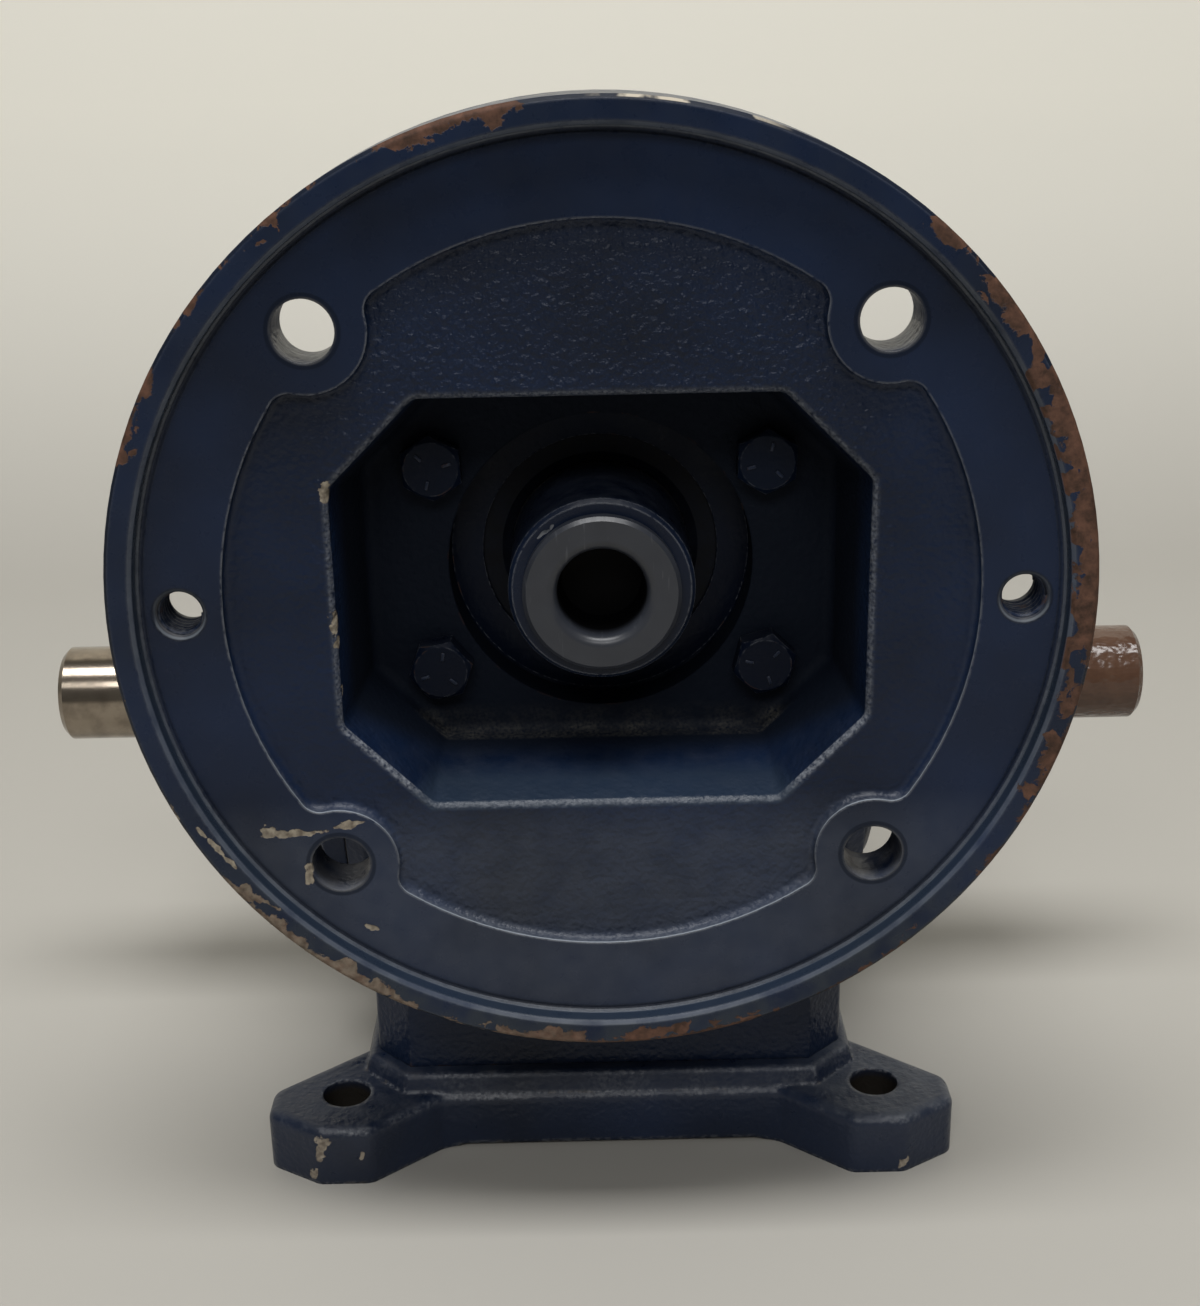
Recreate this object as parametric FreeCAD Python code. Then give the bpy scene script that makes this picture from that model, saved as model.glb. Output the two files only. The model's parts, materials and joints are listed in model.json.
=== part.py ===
import FreeCAD, Part
import math
import os

# Worm gear speed reducer with a C-face motor flange, built in mm.
# X runs along the output shaft, -Y faces the motor, +Z is up.
# The origin is the centre of the foot holes on the underside of the base.

Vec = FreeCAD.Vector
inch = 25.4

# Sizes that the standard motor face and the reducer's own size set
centre_distance = 2.625 * inch
base_to_output = 4.25 * inch
worm_height = base_to_output + centre_distance
flange_to_output = 131.75
face_bolt_circle = 7.25 * inch
register_radius = 8.5 * inch / 2
rim_radius = 9.0 * inch / 2
input_bore_radius = 1.125 * inch / 2
output_radius = 1.125 * inch / 2
output_half_length = 6.5 * inch
foot_hole_x = 5.875 * inch / 2
foot_hole_y = 6.75 * inch / 2

# Motor flange, measured back from the front of the rim
rim_y = -flange_to_output
face_depth = 5.0
cast_depth = 8.0
plate_depth = 19.5
floor_depth = 40.0
gasket = 0.5
bell_depth = 50.8 - gasket
face_hole_radius = 9 / 16 * inch / 2
face_bolt_at = face_bolt_circle / 2 / math.sqrt(2)
jack_hole_offset = 98.4

# Housing shell
house_front = rim_y + bell_depth + gasket
house_back = -house_front
house_half_wide = 66.7
house_bottom = 22.5
house_top = worm_height + 53.0
house_corner = 10.0
pad_half_wide = house_half_wide + 5.0
chamber_radius = 60.0
tunnel_radius = 29.0
right_wall = 56.0

# Worm and wheel
module = 3.3
wheel_teeth = 30
pressure = math.radians(20)
wheel_pitch_radius = module * wheel_teeth / 2
worm_pitch_radius = centre_distance - wheel_pitch_radius
worm_tip_radius = worm_pitch_radius + 0.9 * module
worm_root_radius = worm_pitch_radius - 1.2 * module
thread_pitch = math.pi * module
thread_turns = 6.5
tooth_thin = 0.42
wheel_half_face = 12.0

# Worm shaft, with the deep bore that takes the motor shaft
quill_radius = 22.5
quill_front = rim_y + 17.0
lead_in_radius = 15.1
lead_in_depth = 14.0
bore_depth = 66.0

# Bearings: each one's width, and the outer and inner radii of its rings
front_bearing = {"width": 19.0, "outer": 42.5, "inner": quill_radius, "ball": 6.35, "count": 9}
rear_bearing = {"width": 19.0, "outer": 36.0, "inner": 15.0, "ball": 6.15, "count": 8}
front_bearing_y = house_front + 11.5
rear_bearing_y = 50.0
roller_inner = 34.925 / 2
roller_outer = 65.088 / 2
roller_width = 18.0
roller_count = 16
roller_start = 30.0

running_gap = 0.05
seat_gap = 0.02


def turned(profile):
    # Closed outline of (along, radius) points turned about the X axis
    points = [Vec(a, r, 0) for a, r in profile]
    face = Part.Face(Part.makePolygon(points + points[:1]))
    return face.revolve(Vec(0, 0, 0), Vec(1, 0, 0), 360)


def on_worm(shape, along=0.0):
    # From the local X axis to the worm axis, local X going away from the motor
    shape.rotate(Vec(0, 0, 0), Vec(0, 0, 1), 90)
    shape.translate(Vec(0, along, worm_height))
    return shape


def on_output(shape, side=1):
    # From the local X axis to the output axis, turned round for the left side
    if side < 0:
        shape.rotate(Vec(0, 0, 0), Vec(0, 0, 1), 180)
    shape.translate(Vec(0, 0, base_to_output))
    return shape


def around(count, radius, start=0.0):
    # Points on a circle about the local X axis, as (y, z)
    turns = [math.radians(start) + 2 * math.pi * i / count for i in range(count)]
    return [(radius * math.cos(t), radius * math.sin(t)) for t in turns]


def corners(half_wide, half_high):
    return [(sx * half_wide, sz * half_high) for sx in (-1, 1) for sz in (-1, 1)]


def rod(radius, start, end, at=(0.0, 0.0)):
    return Part.makeCylinder(radius, end - start, Vec(start, at[0], at[1]), Vec(1, 0, 0))


def octagon(along, half_wide, half_high, corner):
    w, h, c = half_wide, half_high, corner
    half = [(w, h - c), (w - c, h), (c - w, h), (-w, h - c)]
    points = half + [(-y, -z) for y, z in half]
    return Part.makePolygon([Vec(along, y, z) for y, z in points + points[:1]])


def hex_head(across, high):
    # Head with a domed top, standing from local X = 0 towards -X
    reach = across / math.sqrt(3)
    points = [Vec(0, y, z) for y, z in around(6, reach, 30)]
    block = Part.Face(Part.makePolygon(points + points[:1])).extrude(Vec(-high, 0, 0))
    crown = 0.2 * high
    dome = [(0, 0), (0, reach), (crown - high, reach), (-high, across / 2 - 0.5), (-high, 0)]
    return block.common(turned(dome))


def hex_bolt(across, high, shank_radius, shank):
    tip = min(1.0, shank_radius / 4)
    body = turned([(-1, 0), (-1, shank_radius), (shank - tip, shank_radius), (shank, shank_radius - tip),
                   (shank, 0)])
    return hex_head(across, high).fuse(body).removeSplitter()


def set_of(shape, places, along, turns=(0,)):
    copies = []
    for i, (y, z) in enumerate(places):
        one = shape.copy()
        one.rotate(Vec(0, 0, 0), Vec(1, 0, 0), turns[i % len(turns)])
        one.translate(Vec(along, y, z))
        copies.append(one)
    return Part.makeCompound(copies)


def save(name, shape):
    if not shape.isValid():
        print("shape is not valid:", name)
    shape.exportStep("parts/" + name + ".step")


# Motor flange: a faced disc, an octagonal bell behind it and the pocket for the shaft hub

bell_bolts = corners(41.0, 26.2)
bell_bolt_radius = 3 / 8 * inch / 2
bell_bolt_turns = (14, 2, 20, -3)
mouth_half_wide = 63.4
mouth_half_high = 50.7
mouth_drop = 1.3


def face_relief():
    # As-cast floor inside the machined ring, which keeps round the four motor bolt holes
    relief = rod(88.3, face_depth - 1, cast_depth)
    for place in corners(face_bolt_at, face_bolt_at):
        relief = relief.cut(rod(14.3, face_depth - 2, cast_depth + 1, place))
    high = cast_depth - face_depth + 1
    cusps = [e for e in relief.Edges if abs(e.Length - high) < 0.01 and e.BoundBox.XLength > high - 0.1]
    seam = Vec(cast_depth, 88.3, 0)
    cusps = [e for e in cusps if min(v.Point.distanceToPoint(seam) for v in e.Vertexes) > 20]
    relief = relief.makeFillet(5.0, cusps)
    floor = [e for e in relief.Edges if e.BoundBox.XMin > cast_depth - 0.01]
    return relief.makeFillet(1.6, floor)


def pocket():
    mouth = octagon(cast_depth - 4, mouth_half_wide, mouth_half_high, 21.0)
    mouth.translate(Vec(0, 0, -mouth_drop))
    floor = octagon(floor_depth, 58.3, 44.6, 18.4)
    hollow = Part.makeLoft([mouth, floor], True, True)
    inner = [e for e in hollow.Edges if e.BoundBox.XMax > floor_depth - 1]
    return hollow.makeFillet(3.0, inner)


def faced_disc():
    # Disc with the raised rim, and a shallow tool groove in the face just inside the register wall
    groove = register_radius - 0.6
    groove_depth = face_depth + 0.5
    return turned([
        (face_depth, 0), (face_depth, groove - 1.0), (groove_depth, groove - 1.0),
        (groove_depth, groove), (face_depth, groove), (face_depth, register_radius),
        (1.0, register_radius), (0, register_radius + 1.0), (0, rim_radius - 0.8),
        (0.8, rim_radius), (plate_depth - 2.0, rim_radius), (plate_depth, rim_radius - 2.0),
        (plate_depth, 0)])


def flange_casting():
    wide, narrow = octagon(face_depth + 4, 71.5, 58.5, 23.0), octagon(bell_depth, 66.2, 52.5, 20.0)
    body = faced_disc().fuse(Part.makeLoft([wide, narrow], True, True))
    back = []
    for edge in body.Edges:
        level = all(abs(v.X - plate_depth) < 0.01 for v in edge.Vertexes)
        near = edge.CenterOfMass.distanceToPoint(Vec(plate_depth, 0, 0)) < 80
        if level and near and len(edge.Vertexes) == 2:
            back.append(edge)
    body = body.makeFillet(6.0, back).cut(face_relief()).cut(pocket())
    mouth = []
    for edge in body.Edges:
        middle = edge.CenterOfMass
        level = abs(edge.BoundBox.XMin - cast_depth) < 0.01 and edge.BoundBox.XLength < 0.01
        if level and abs(middle.y) < mouth_half_wide and abs(middle.z + mouth_drop) < mouth_half_high:
            mouth.append(edge)
    return body.makeFillet(2.0, mouth)


def motor_flange():
    body = flange_casting().cut(rod(38.1, floor_depth - 1, bell_depth + 1))
    for place in corners(face_bolt_at, face_bolt_at):
        body = body.cut(rod(face_hole_radius, 0, plate_depth + 12, place))
    for y in (jack_hole_offset, -jack_hole_offset):
        sink = turned([(face_depth - 1, 0), (face_depth - 1, 7.2), (face_depth + 0.8, 5.4),
                       (face_depth + 0.8, 0)])
        sink.translate(Vec(0, y, 0))
        body = body.cut(rod(5.4, 0, plate_depth + 1, (y, 0))).cut(sink)
    for place in bell_bolts:
        body = body.cut(rod(bell_bolt_radius + 0.4, floor_depth - 1, bell_depth + 1, place))
    return on_worm(body, rim_y)


def flange_bolts():
    bolt = hex_bolt(9 / 16 * inch, 6.2, bell_bolt_radius, 30.0)
    return on_worm(set_of(bolt, bell_bolts, floor_depth, bell_bolt_turns), rim_y)


def flange_gasket():
    sheet = Part.Face(octagon(bell_depth, 66.0, 52.3, 20.0)).extrude(Vec(gasket, 0, 0))
    sheet = sheet.cut(rod(43.5, bell_depth - 1, bell_depth + 1))
    for place in bell_bolts:
        sheet = sheet.cut(rod(bell_bolt_radius + 0.4, bell_depth - 1, bell_depth + 1, place))
    return on_worm(sheet, rim_y)


# Housing: a box with cut corners, bored for the wheel and for the worm

# The wheel goes in behind the large left cover, and the small right one only holds its bearing
covers = {
    -1: {"bore": chamber_radius, "radius": 75.0, "thick": 7.5, "bolts": around(6, 67.5), "drill": 20.0,
         "bolt": 5 / 16 * inch / 2, "across": 1 / 2 * inch, "head": 5.3, "shank": 25.0},
    1: {"bore": 43.0, "radius": 56.0, "thick": 6.0, "bolts": around(6, 48.2, 30), "drill": 13.0,
        "bolt": 1 / 4 * inch / 2, "across": 7 / 16 * inch, "head": 4.2, "shank": 18.0},
}
cover_bolt_turns = (8, 40, 22, 55, 3, 31)
rear_bolts = corners(35.0, 35.0)
rear_bolt_radius = 5 / 16 * inch / 2
base_bolts_at = corners(42.0, 58.0)
base_bolt_radius = 3 / 8 * inch / 2
drain_at = (0.0, 43.5)
level_at = (-44.0, 92.0)
plug_radius = 8.0


def plan_outline(half_x, half_y, corner, z):
    w, d, c = half_x, half_y, corner
    half = [(w, d - c), (w - c, d), (c - w, d), (-w, d - c)]
    points = half + [(-x, -y) for x, y in half]
    return Part.makePolygon([Vec(x, y, z) for x, y in points + points[:1]])


def house_shell():
    box = Part.Face(plan_outline(house_half_wide, house_back, house_corner, house_bottom))
    box = box.extrude(Vec(0, 0, house_top - house_bottom))
    w, c = house_half_wide, 20.0
    front = [(-w, house_bottom), (w, house_bottom), (w, house_top - c), (w - c, house_top),
             (c - w, house_top), (-w, house_top - c)]
    points = [Vec(x, house_front - 1, z) for x, z in front]
    slab = Part.Face(Part.makePolygon(points + points[:1])).extrude(Vec(0, 2 * house_back + 2, 0))
    shell = box.common(slab)
    soft = []
    for edge in shell.Edges:
        middle = edge.CenterOfMass
        flat_front = all(abs(abs(v.Y) - house_back) < 0.01 for v in edge.Vertexes)
        if middle.z > house_bottom + 1 and not flat_front:
            soft.append(edge)
    shell = shell.makeFillet(3.0, soft)
    pads = turned([(-pad_half_wide, 0), (-pad_half_wide, 76.0), (-house_half_wide, 78.5),
                   (house_half_wide, 78.5), (pad_half_wide, 76.0), (pad_half_wide, 0)])
    return shell.fuse(on_output(pads))


def gear_housing():
    body = house_shell()
    chamber = rod(chamber_radius, -100, right_wall).fuse(rod(covers[1]["bore"], right_wall - 1, 100))
    sump = Part.makeBox(96, 116, 50, Vec(-48, -58, 32.5))
    body = body.cut(on_output(chamber)).cut(sump)
    front_end = front_bearing_y + front_bearing["width"]
    bores = [rod(tunnel_radius, front_end - 1, rear_bearing_y + 1)]
    bores.append(rod(front_bearing["outer"] + seat_gap, house_front - 1, front_end))
    bores.append(rod(rear_bearing["outer"] + seat_gap, rear_bearing_y, house_back + 1))
    for place in bell_bolts:
        bores.append(rod(bell_bolt_radius + running_gap, house_front - 1, house_front + 24, place))
    for place in rear_bolts:
        bores.append(rod(rear_bolt_radius + running_gap, house_back - 22, house_back + 1, place))
    for bore in bores:
        body = body.cut(on_worm(bore))
    for side, cover in covers.items():
        for place in cover["bolts"]:
            hole = rod(cover["bolt"] + running_gap, pad_half_wide - cover["drill"], pad_half_wide + 1, place)
            body = body.cut(on_output(hole, side))
    for x, y in base_bolts_at:
        hole = Part.makeCylinder(base_bolt_radius + running_gap, 20, Vec(x, y, house_bottom - 1))
        body = body.cut(hole)
    down = Vec(0, 1, 0)
    body = body.cut(Part.makeCylinder(plug_radius, 30, Vec(drain_at[0], house_front - 1, drain_at[1]), down))
    body = body.cut(Part.makeCylinder(plug_radius, 30, Vec(level_at[0], house_back - 29, level_at[1]), down))
    return body.cut(Part.makeCylinder(plug_radius, 40, Vec(0, 20, house_top - 38)))


def pipe_plug():
    # Tapered plug with a hex head towards local -X
    body = turned([(-1, 0), (-1, plug_radius - running_gap), (14, plug_radius - 0.6), (14, 0)])
    return hex_head(17.5, 8.0).fuse(body).removeSplitter()


def drain_plug():
    plug = pipe_plug()
    plug.rotate(Vec(0, 0, 0), Vec(0, 0, 1), 90)
    plug.translate(Vec(drain_at[0], house_front, drain_at[1]))
    return plug


def level_plug():
    plug = pipe_plug()
    plug.rotate(Vec(0, 0, 0), Vec(0, 0, 1), -90)
    plug.translate(Vec(level_at[0], house_back, level_at[1]))
    return plug


def breather():
    stem = turned([(-1.5, 0), (-1.5, 9.5), (0, 9.5), (0, plug_radius - running_gap), (14, plug_radius - 0.6),
                   (14, 0)])
    neck = turned([(-16, 0), (-16, 6.2), (-7, 6.2), (-7, 0)])
    cap = turned([(-25, 0), (-25, 8.0), (-23, 11.0), (-13, 11.0), (-13, 8.6), (-14.5, 8.6), (-14.5, 0)])
    grip = hex_head(15.9, 6.5)
    grip.translate(Vec(-1.2, 0, 0))
    body = stem.fuse([grip, neck, cap]).removeSplitter()
    body.rotate(Vec(0, 0, 0), Vec(0, 1, 0), 90)
    body.translate(Vec(0, 20, house_top))
    return body


# Base: four splayed feet round a raised collar that the housing stands on

foot_high = 11 / 16 * inch
foot_front = 103.75
foot_half_wide = 95.8


def base_outline():
    quarter = [(69.0, 60.0), (foot_half_wide, 83.0), (foot_half_wide, 94.5), (81.0, foot_front),
               (66.5, foot_front), (47.5, 88.0)]
    points = quarter + [(-x, y) for x, y in reversed(quarter)]
    points += [(-x, -y) for x, y in points]
    return [Vec(x, y, 0) for x, y in points]


def base_casting():
    points = base_outline()
    plate = Part.Face(Part.makePolygon(points + points[:1])).extrude(Vec(0, 0, foot_high))
    upright = []
    for edge in plate.Edges:
        middle = edge.CenterOfMass
        if abs(middle.z - foot_high / 2) < 0.1:
            upright.append(edge)
    plate = plate.makeFillet(5.0, upright)
    rim_edges = [e for e in plate.Edges if all(abs(v.Z - foot_high) < 0.01 for v in e.Vertexes)]
    plate = plate.makeFillet(3.0, rim_edges)
    skirt = plan_outline(house_half_wide + 4.5, house_back + 6.5, house_corner + 2.5, foot_high - 3)
    ledge = plan_outline(house_half_wide + 2.2, house_back + 4.2, house_corner + 1.2, house_bottom)
    collar = Part.makeLoft([skirt, ledge], True, True)
    crown = [e for e in collar.Edges if all(abs(v.Z - house_bottom) < 0.01 for v in e.Vertexes)]
    collar = collar.makeFillet(1.6, crown)
    return plate.fuse(collar)


def underside_relief(half_long, half_wide):
    # Shallow hollow with sloped ends, so that only the four feet touch the ground
    deep, slope = 1.5, 6.0
    points = [Vec(-half_long, 0, 0), Vec(slope - half_long, 0, deep), Vec(half_long - slope, 0, deep),
              Vec(half_long, 0, 0)]
    hollow = Part.Face(Part.makePolygon(points + points[:1])).extrude(Vec(0, 2 * half_wide, 0))
    hollow.translate(Vec(0, -half_wide, 0))
    return hollow


def base():
    body = base_casting().cut(underside_relief(47.0, 150.0))
    across = underside_relief(60.0, 150.0)
    across.rotate(Vec(0, 0, 0), Vec(0, 0, 1), 90)
    body = body.cut(across)
    for x, y in corners(foot_hole_x, foot_hole_y):
        body = body.cut(Part.makeCylinder(17 / 32 * inch / 2, 40, Vec(x, y, -1)))
    for x, y in base_bolts_at:
        body = body.cut(Part.makeCylinder(base_bolt_radius + 0.4, 40, Vec(x, y, -1)))
        body = body.cut(Part.makeCylinder(8.2, 13, Vec(x, y, -1)))
    return body


def base_bolts():
    # Socket-head screws let into the underside
    head = turned([(-9.5, 0), (-9.5, 6.6), (-9.0, 7.1), (0, 7.1), (0, base_bolt_radius),
                   (25, base_bolt_radius), (25, 0)])
    reach = 4.0 / math.cos(math.pi / 6)
    points = [Vec(-10, y, z) for y, z in around(6, reach)]
    socket = Part.Face(Part.makePolygon(points + points[:1])).extrude(Vec(5.5, 0, 0))
    screw = head.cut(socket)
    screw.rotate(Vec(0, 0, 0), Vec(0, 1, 0), -90)
    copies = []
    for x, y in base_bolts_at:
        one = screw.copy()
        one.translate(Vec(x, y, 12.0))
        copies.append(one)
    return Part.makeCompound(copies)


# Output covers, which carry the output bearings and seals

cover_seat = pad_half_wide + gasket
cover_nose = cover_seat + 21.0
seal_radius = 25.4
cup_shoulder = roller_start + roller_width + 0.6


def output_cover(side):
    cover = covers[side]
    spigot, radius = cover["bore"] - running_gap, cover["radius"]
    face = cover_seat + cover["thick"]
    body = turned([
        (32.0, roller_outer + seat_gap), (32.0, 39.5), (57.0, 41.5), (59.0, spigot),
        (cover_seat, spigot), (cover_seat, radius), (face - 1.4, radius),
        (face, radius - 1.4), (face, 41.0), (face + 2, 39.5), (cover_nose - 1.5, 37.5),
        (cover_nose, 36.0), (cover_nose, seal_radius + 0.8), (cover_nose - 0.8, seal_radius + seat_gap),
        (cover_nose - 10.5, seal_radius + seat_gap), (cover_nose - 10.5, 18.5), (cup_shoulder + 10, 18.5),
        (cup_shoulder + 6, 28.0), (cup_shoulder, 28.0), (cup_shoulder, roller_outer + seat_gap)])
    for place in cover["bolts"]:
        body = body.cut(rod(cover["bolt"] + 0.4, cover_seat - 1, face + 1, place))
    return on_output(body, side)


def cover_gasket(side):
    cover = covers[side]
    inner, outer = cover["bore"] + 0.3, cover["radius"] - 0.5
    sheet = turned([(pad_half_wide, inner), (pad_half_wide, outer), (cover_seat, outer), (cover_seat, inner)])
    for place in cover["bolts"]:
        sheet = sheet.cut(rod(cover["bolt"] + 0.4, pad_half_wide - 1, cover_seat + 1, place))
    return on_output(sheet, side)


def cover_screws(side):
    cover = covers[side]
    bolt = hex_bolt(cover["across"], cover["head"], cover["bolt"], cover["shank"])
    bolt.rotate(Vec(0, 0, 0), Vec(0, 0, 1), 180)
    screws = set_of(bolt, cover["bolts"], cover_seat + cover["thick"], cover_bolt_turns)
    return on_output(screws, side)


def output_seal(side):
    lip = seal_seat_radius + running_gap
    back = cover_nose - 10.4
    body = turned([
        (back, seal_radius), (back + 9.4, seal_radius), (back + 9.4, lip + 2.6), (back + 7.2, lip),
        (back + 6.2, lip), (back + 5.4, lip + 2.4), (back + 7.2, lip + 5.0), (back + 7.2, seal_radius - 2.6),
        (back + 1.0, seal_radius - 2.6), (back, seal_radius - 2.0)])
    return on_output(body, side)


# Rear cap behind the worm's rear bearing

def rounded_square(half, corner, start, thick):
    plate = Part.makeBox(thick, 2 * half, 2 * half, Vec(start, -half, -half))
    along = [e for e in plate.Edges if abs(e.Vertexes[0].X - e.Vertexes[1].X) > thick / 2]
    return plate.makeFillet(corner, along)


def rear_cap():
    seat = house_back + gasket
    plate = rounded_square(46.0, 12.0, seat, 9.0)
    outer = [e for e in plate.Edges if all(abs(v.X - seat - 9.0) < 0.01 for v in e.Vertexes)]
    plate = plate.makeFillet(1.5, outer)
    dome = turned([(seat + 5, 0), (seat + 5, 33.0), (seat + 12, 31.0), (seat + 14, 28.0), (seat + 14, 0)])
    lip_end = rear_bearing_y + rear_bearing["width"] + 0.3
    lip = turned([(lip_end, 31.5), (lip_end, 35.9), (seat + 4, 35.9), (seat + 4, 31.5)])
    body = plate.fuse([dome, lip])
    body = body.cut(rod(27.0, seat - 1, seat + 8.0))
    for place in rear_bolts:
        body = body.cut(rod(rear_bolt_radius + 0.4, seat - 1, seat + 10, place))
    return on_worm(body)


def rear_gasket():
    sheet = rounded_square(45.7, 11.7, house_back, gasket)
    sheet = sheet.cut(rod(36.4, house_back - 1, house_back + 1))
    for place in rear_bolts:
        sheet = sheet.cut(rod(rear_bolt_radius + 0.4, house_back - 1, house_back + 1, place))
    return on_worm(sheet)


def rear_screws():
    bolt = hex_bolt(12.7, 5.3, rear_bolt_radius, 26.0)
    bolt.rotate(Vec(0, 0, 0), Vec(0, 0, 1), 180)
    return on_worm(set_of(bolt, rear_bolts, house_back + gasket + 9.0))


# Input seal, in a carrier that the motor flange clamps in the front bore

carrier_front = house_front + 0.1
carrier_back = front_bearing_y
input_seal_radius = 30.0


def seal_carrier():
    outer = front_bearing["outer"] - running_gap
    seal_seat = input_seal_radius + seat_gap
    groove = carrier_front + 4.0
    body = turned([
        (carrier_front, 38.6), (carrier_front, outer), (groove, outer), (groove, 39.8), (groove + 2.8, 39.8),
        (groove + 2.8, outer), (carrier_back, outer), (carrier_back, 37.0), (carrier_back - 1.6, 37.0),
        (carrier_back - 1.6, 28.5), (carrier_back - 2.2, 28.5), (carrier_back - 2.2, seal_seat),
        (carrier_front + 1.6, seal_seat), (carrier_front + 1.6, 38.0)])
    return on_worm(body)


def carrier_ring():
    ring = Part.makeTorus(41.1, 1.2, Vec(carrier_front + 5.4, 0, 0), Vec(1, 0, 0))
    return on_worm(ring)


def input_seal():
    lip = quill_radius + running_gap
    front = carrier_front + 2.8
    outer = input_seal_radius
    body = turned([
        (front, outer), (front + 6.2, outer), (front + 6.2, outer - 1.5), (front + 2.0, outer - 2.5),
        (front + 2.0, lip + 4.2), (front + 3.6, lip + 2.4), (front + 2.6, lip), (front + 1.6, lip),
        (front, lip + 2.6)])
    return on_worm(body)


# Ball bearings of the worm

def ball_pitch(bearing):
    return (bearing["outer"] + bearing["inner"]) / 2


def ball_ring(bearing, outer):
    wide = bearing["width"]
    pitch = ball_pitch(bearing)
    step = 0.57 * bearing["ball"]
    if outer:
        low, high = pitch + step, bearing["outer"]
    else:
        low, high = bearing["inner"] + seat_gap, pitch - step
    ring = turned([(0, low), (0, high), (wide, high), (wide, low)])
    return ring.cut(Part.makeTorus(pitch, bearing["ball"] + 0.12, Vec(wide / 2, 0, 0), Vec(1, 0, 0)))


def ball_set(bearing):
    wide = bearing["width"]
    pitch = ball_pitch(bearing)
    places = around(bearing["count"], pitch)
    low, high = pitch - 1.3, pitch + 1.3
    cage = turned([(1.8, low), (1.8, high), (wide - 1.8, high), (wide - 1.8, low)])
    balls = []
    for y, z in places:
        centre = Vec(wide / 2, y, z)
        balls.append(Part.makeSphere(bearing["ball"], centre))
        cage = cage.cut(Part.makeSphere(bearing["ball"] + 0.2, centre))
    return Part.makeCompound(balls + [cage])


# Tapered roller bearings of the output shaft, big ends of the rollers inwards

def race_radius(along, share):
    # Radius of the inner race (share -1), roller axis (0) or outer race (+1)
    middle = roller_start + roller_width / 2
    return 25.2 + share * 3.7 - (0.25 + share * 0.06) * (along - middle)


def roller_cone(side):
    start, end = roller_start, roller_start + roller_width
    bore = roller_inner + seat_gap
    big, small = race_radius(start + 2, -1), race_radius(end - 2, -1)
    body = turned([
        (start, bore), (start, big + 2.6), (start + 2, big + 2.6), (start + 2, big), (end - 2, small),
        (end - 2, small + 0.7), (end, small + 0.7), (end, bore)])
    return on_output(body, side)


def roller_cup(side):
    start, end = roller_start + 2.8, cup_shoulder
    wide, tight = race_radius(start, 1), race_radius(end, 1)
    body = turned([(start, wide), (start, roller_outer), (end, roller_outer), (end, tight)])
    return on_output(body, side)


def tapered_roller(grow):
    low, high = roller_start + 3.3 - grow, roller_start + roller_width - 2.8 + grow
    slope = math.cos(math.atan(0.25))
    middle = roller_start + roller_width / 2
    base = Vec(low, race_radius(low, 0), 0)
    tip = Vec(high, race_radius(high, 0), 0)
    big = (3.7 - 0.06 * (low - middle)) * slope - 0.13 + grow
    small = (3.7 - 0.06 * (high - middle)) * slope - 0.13 + grow
    return Part.makeCone(big, small, (tip - base).Length, base, tip - base)


def roller_set(side):
    first, last = roller_start + 0.9, roller_start + roller_width - 0.4
    cage = turned([(first, race_radius(first, 0) + 0.1), (first, race_radius(first, 0) + 1.5),
                   (last, race_radius(last, 0) + 1.5), (last, race_radius(last, 0) + 0.1)])
    rollers = []
    for i in range(roller_count):
        turn = 360.0 * i / roller_count
        roller = tapered_roller(0.0)
        roller.rotate(Vec(0, 0, 0), Vec(1, 0, 0), turn)
        rollers.append(roller)
        slot = tapered_roller(0.2)
        slot.rotate(Vec(0, 0, 0), Vec(1, 0, 0), turn)
        cage = cage.cut(slot)
    return on_output(Part.makeCompound(rollers + [cage]), side)


# Worm shaft: hollow quill at the motor end, one-start thread over the wheel

def worm_thread():
    lower = worm_root_radius - 0.6
    half = (thread_pitch / 2 - tooth_thin) / 2
    root = half + (worm_pitch_radius - lower) * math.tan(pressure)
    tip = half - (worm_tip_radius - worm_pitch_radius) * math.tan(pressure)
    start = -thread_turns / 2 * thread_pitch
    helix = Part.makeHelix(thread_pitch, thread_turns * thread_pitch, worm_pitch_radius)
    upper = worm_tip_radius
    section = [Vec(lower, 0, -root), Vec(upper, 0, -tip), Vec(upper, 0, tip), Vec(lower, 0, root)]
    outline = Part.makePolygon(section + section[:1])
    thread = Part.Wire(helix.Edges).makePipeShell([outline], True, True)
    thread.translate(Vec(0, 0, start))
    thread.rotate(Vec(0, 0, 0), Vec(1, 0, 0), -90)
    thread.rotate(Vec(0, 0, 0), Vec(0, 0, 1), -90)
    return thread


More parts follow.
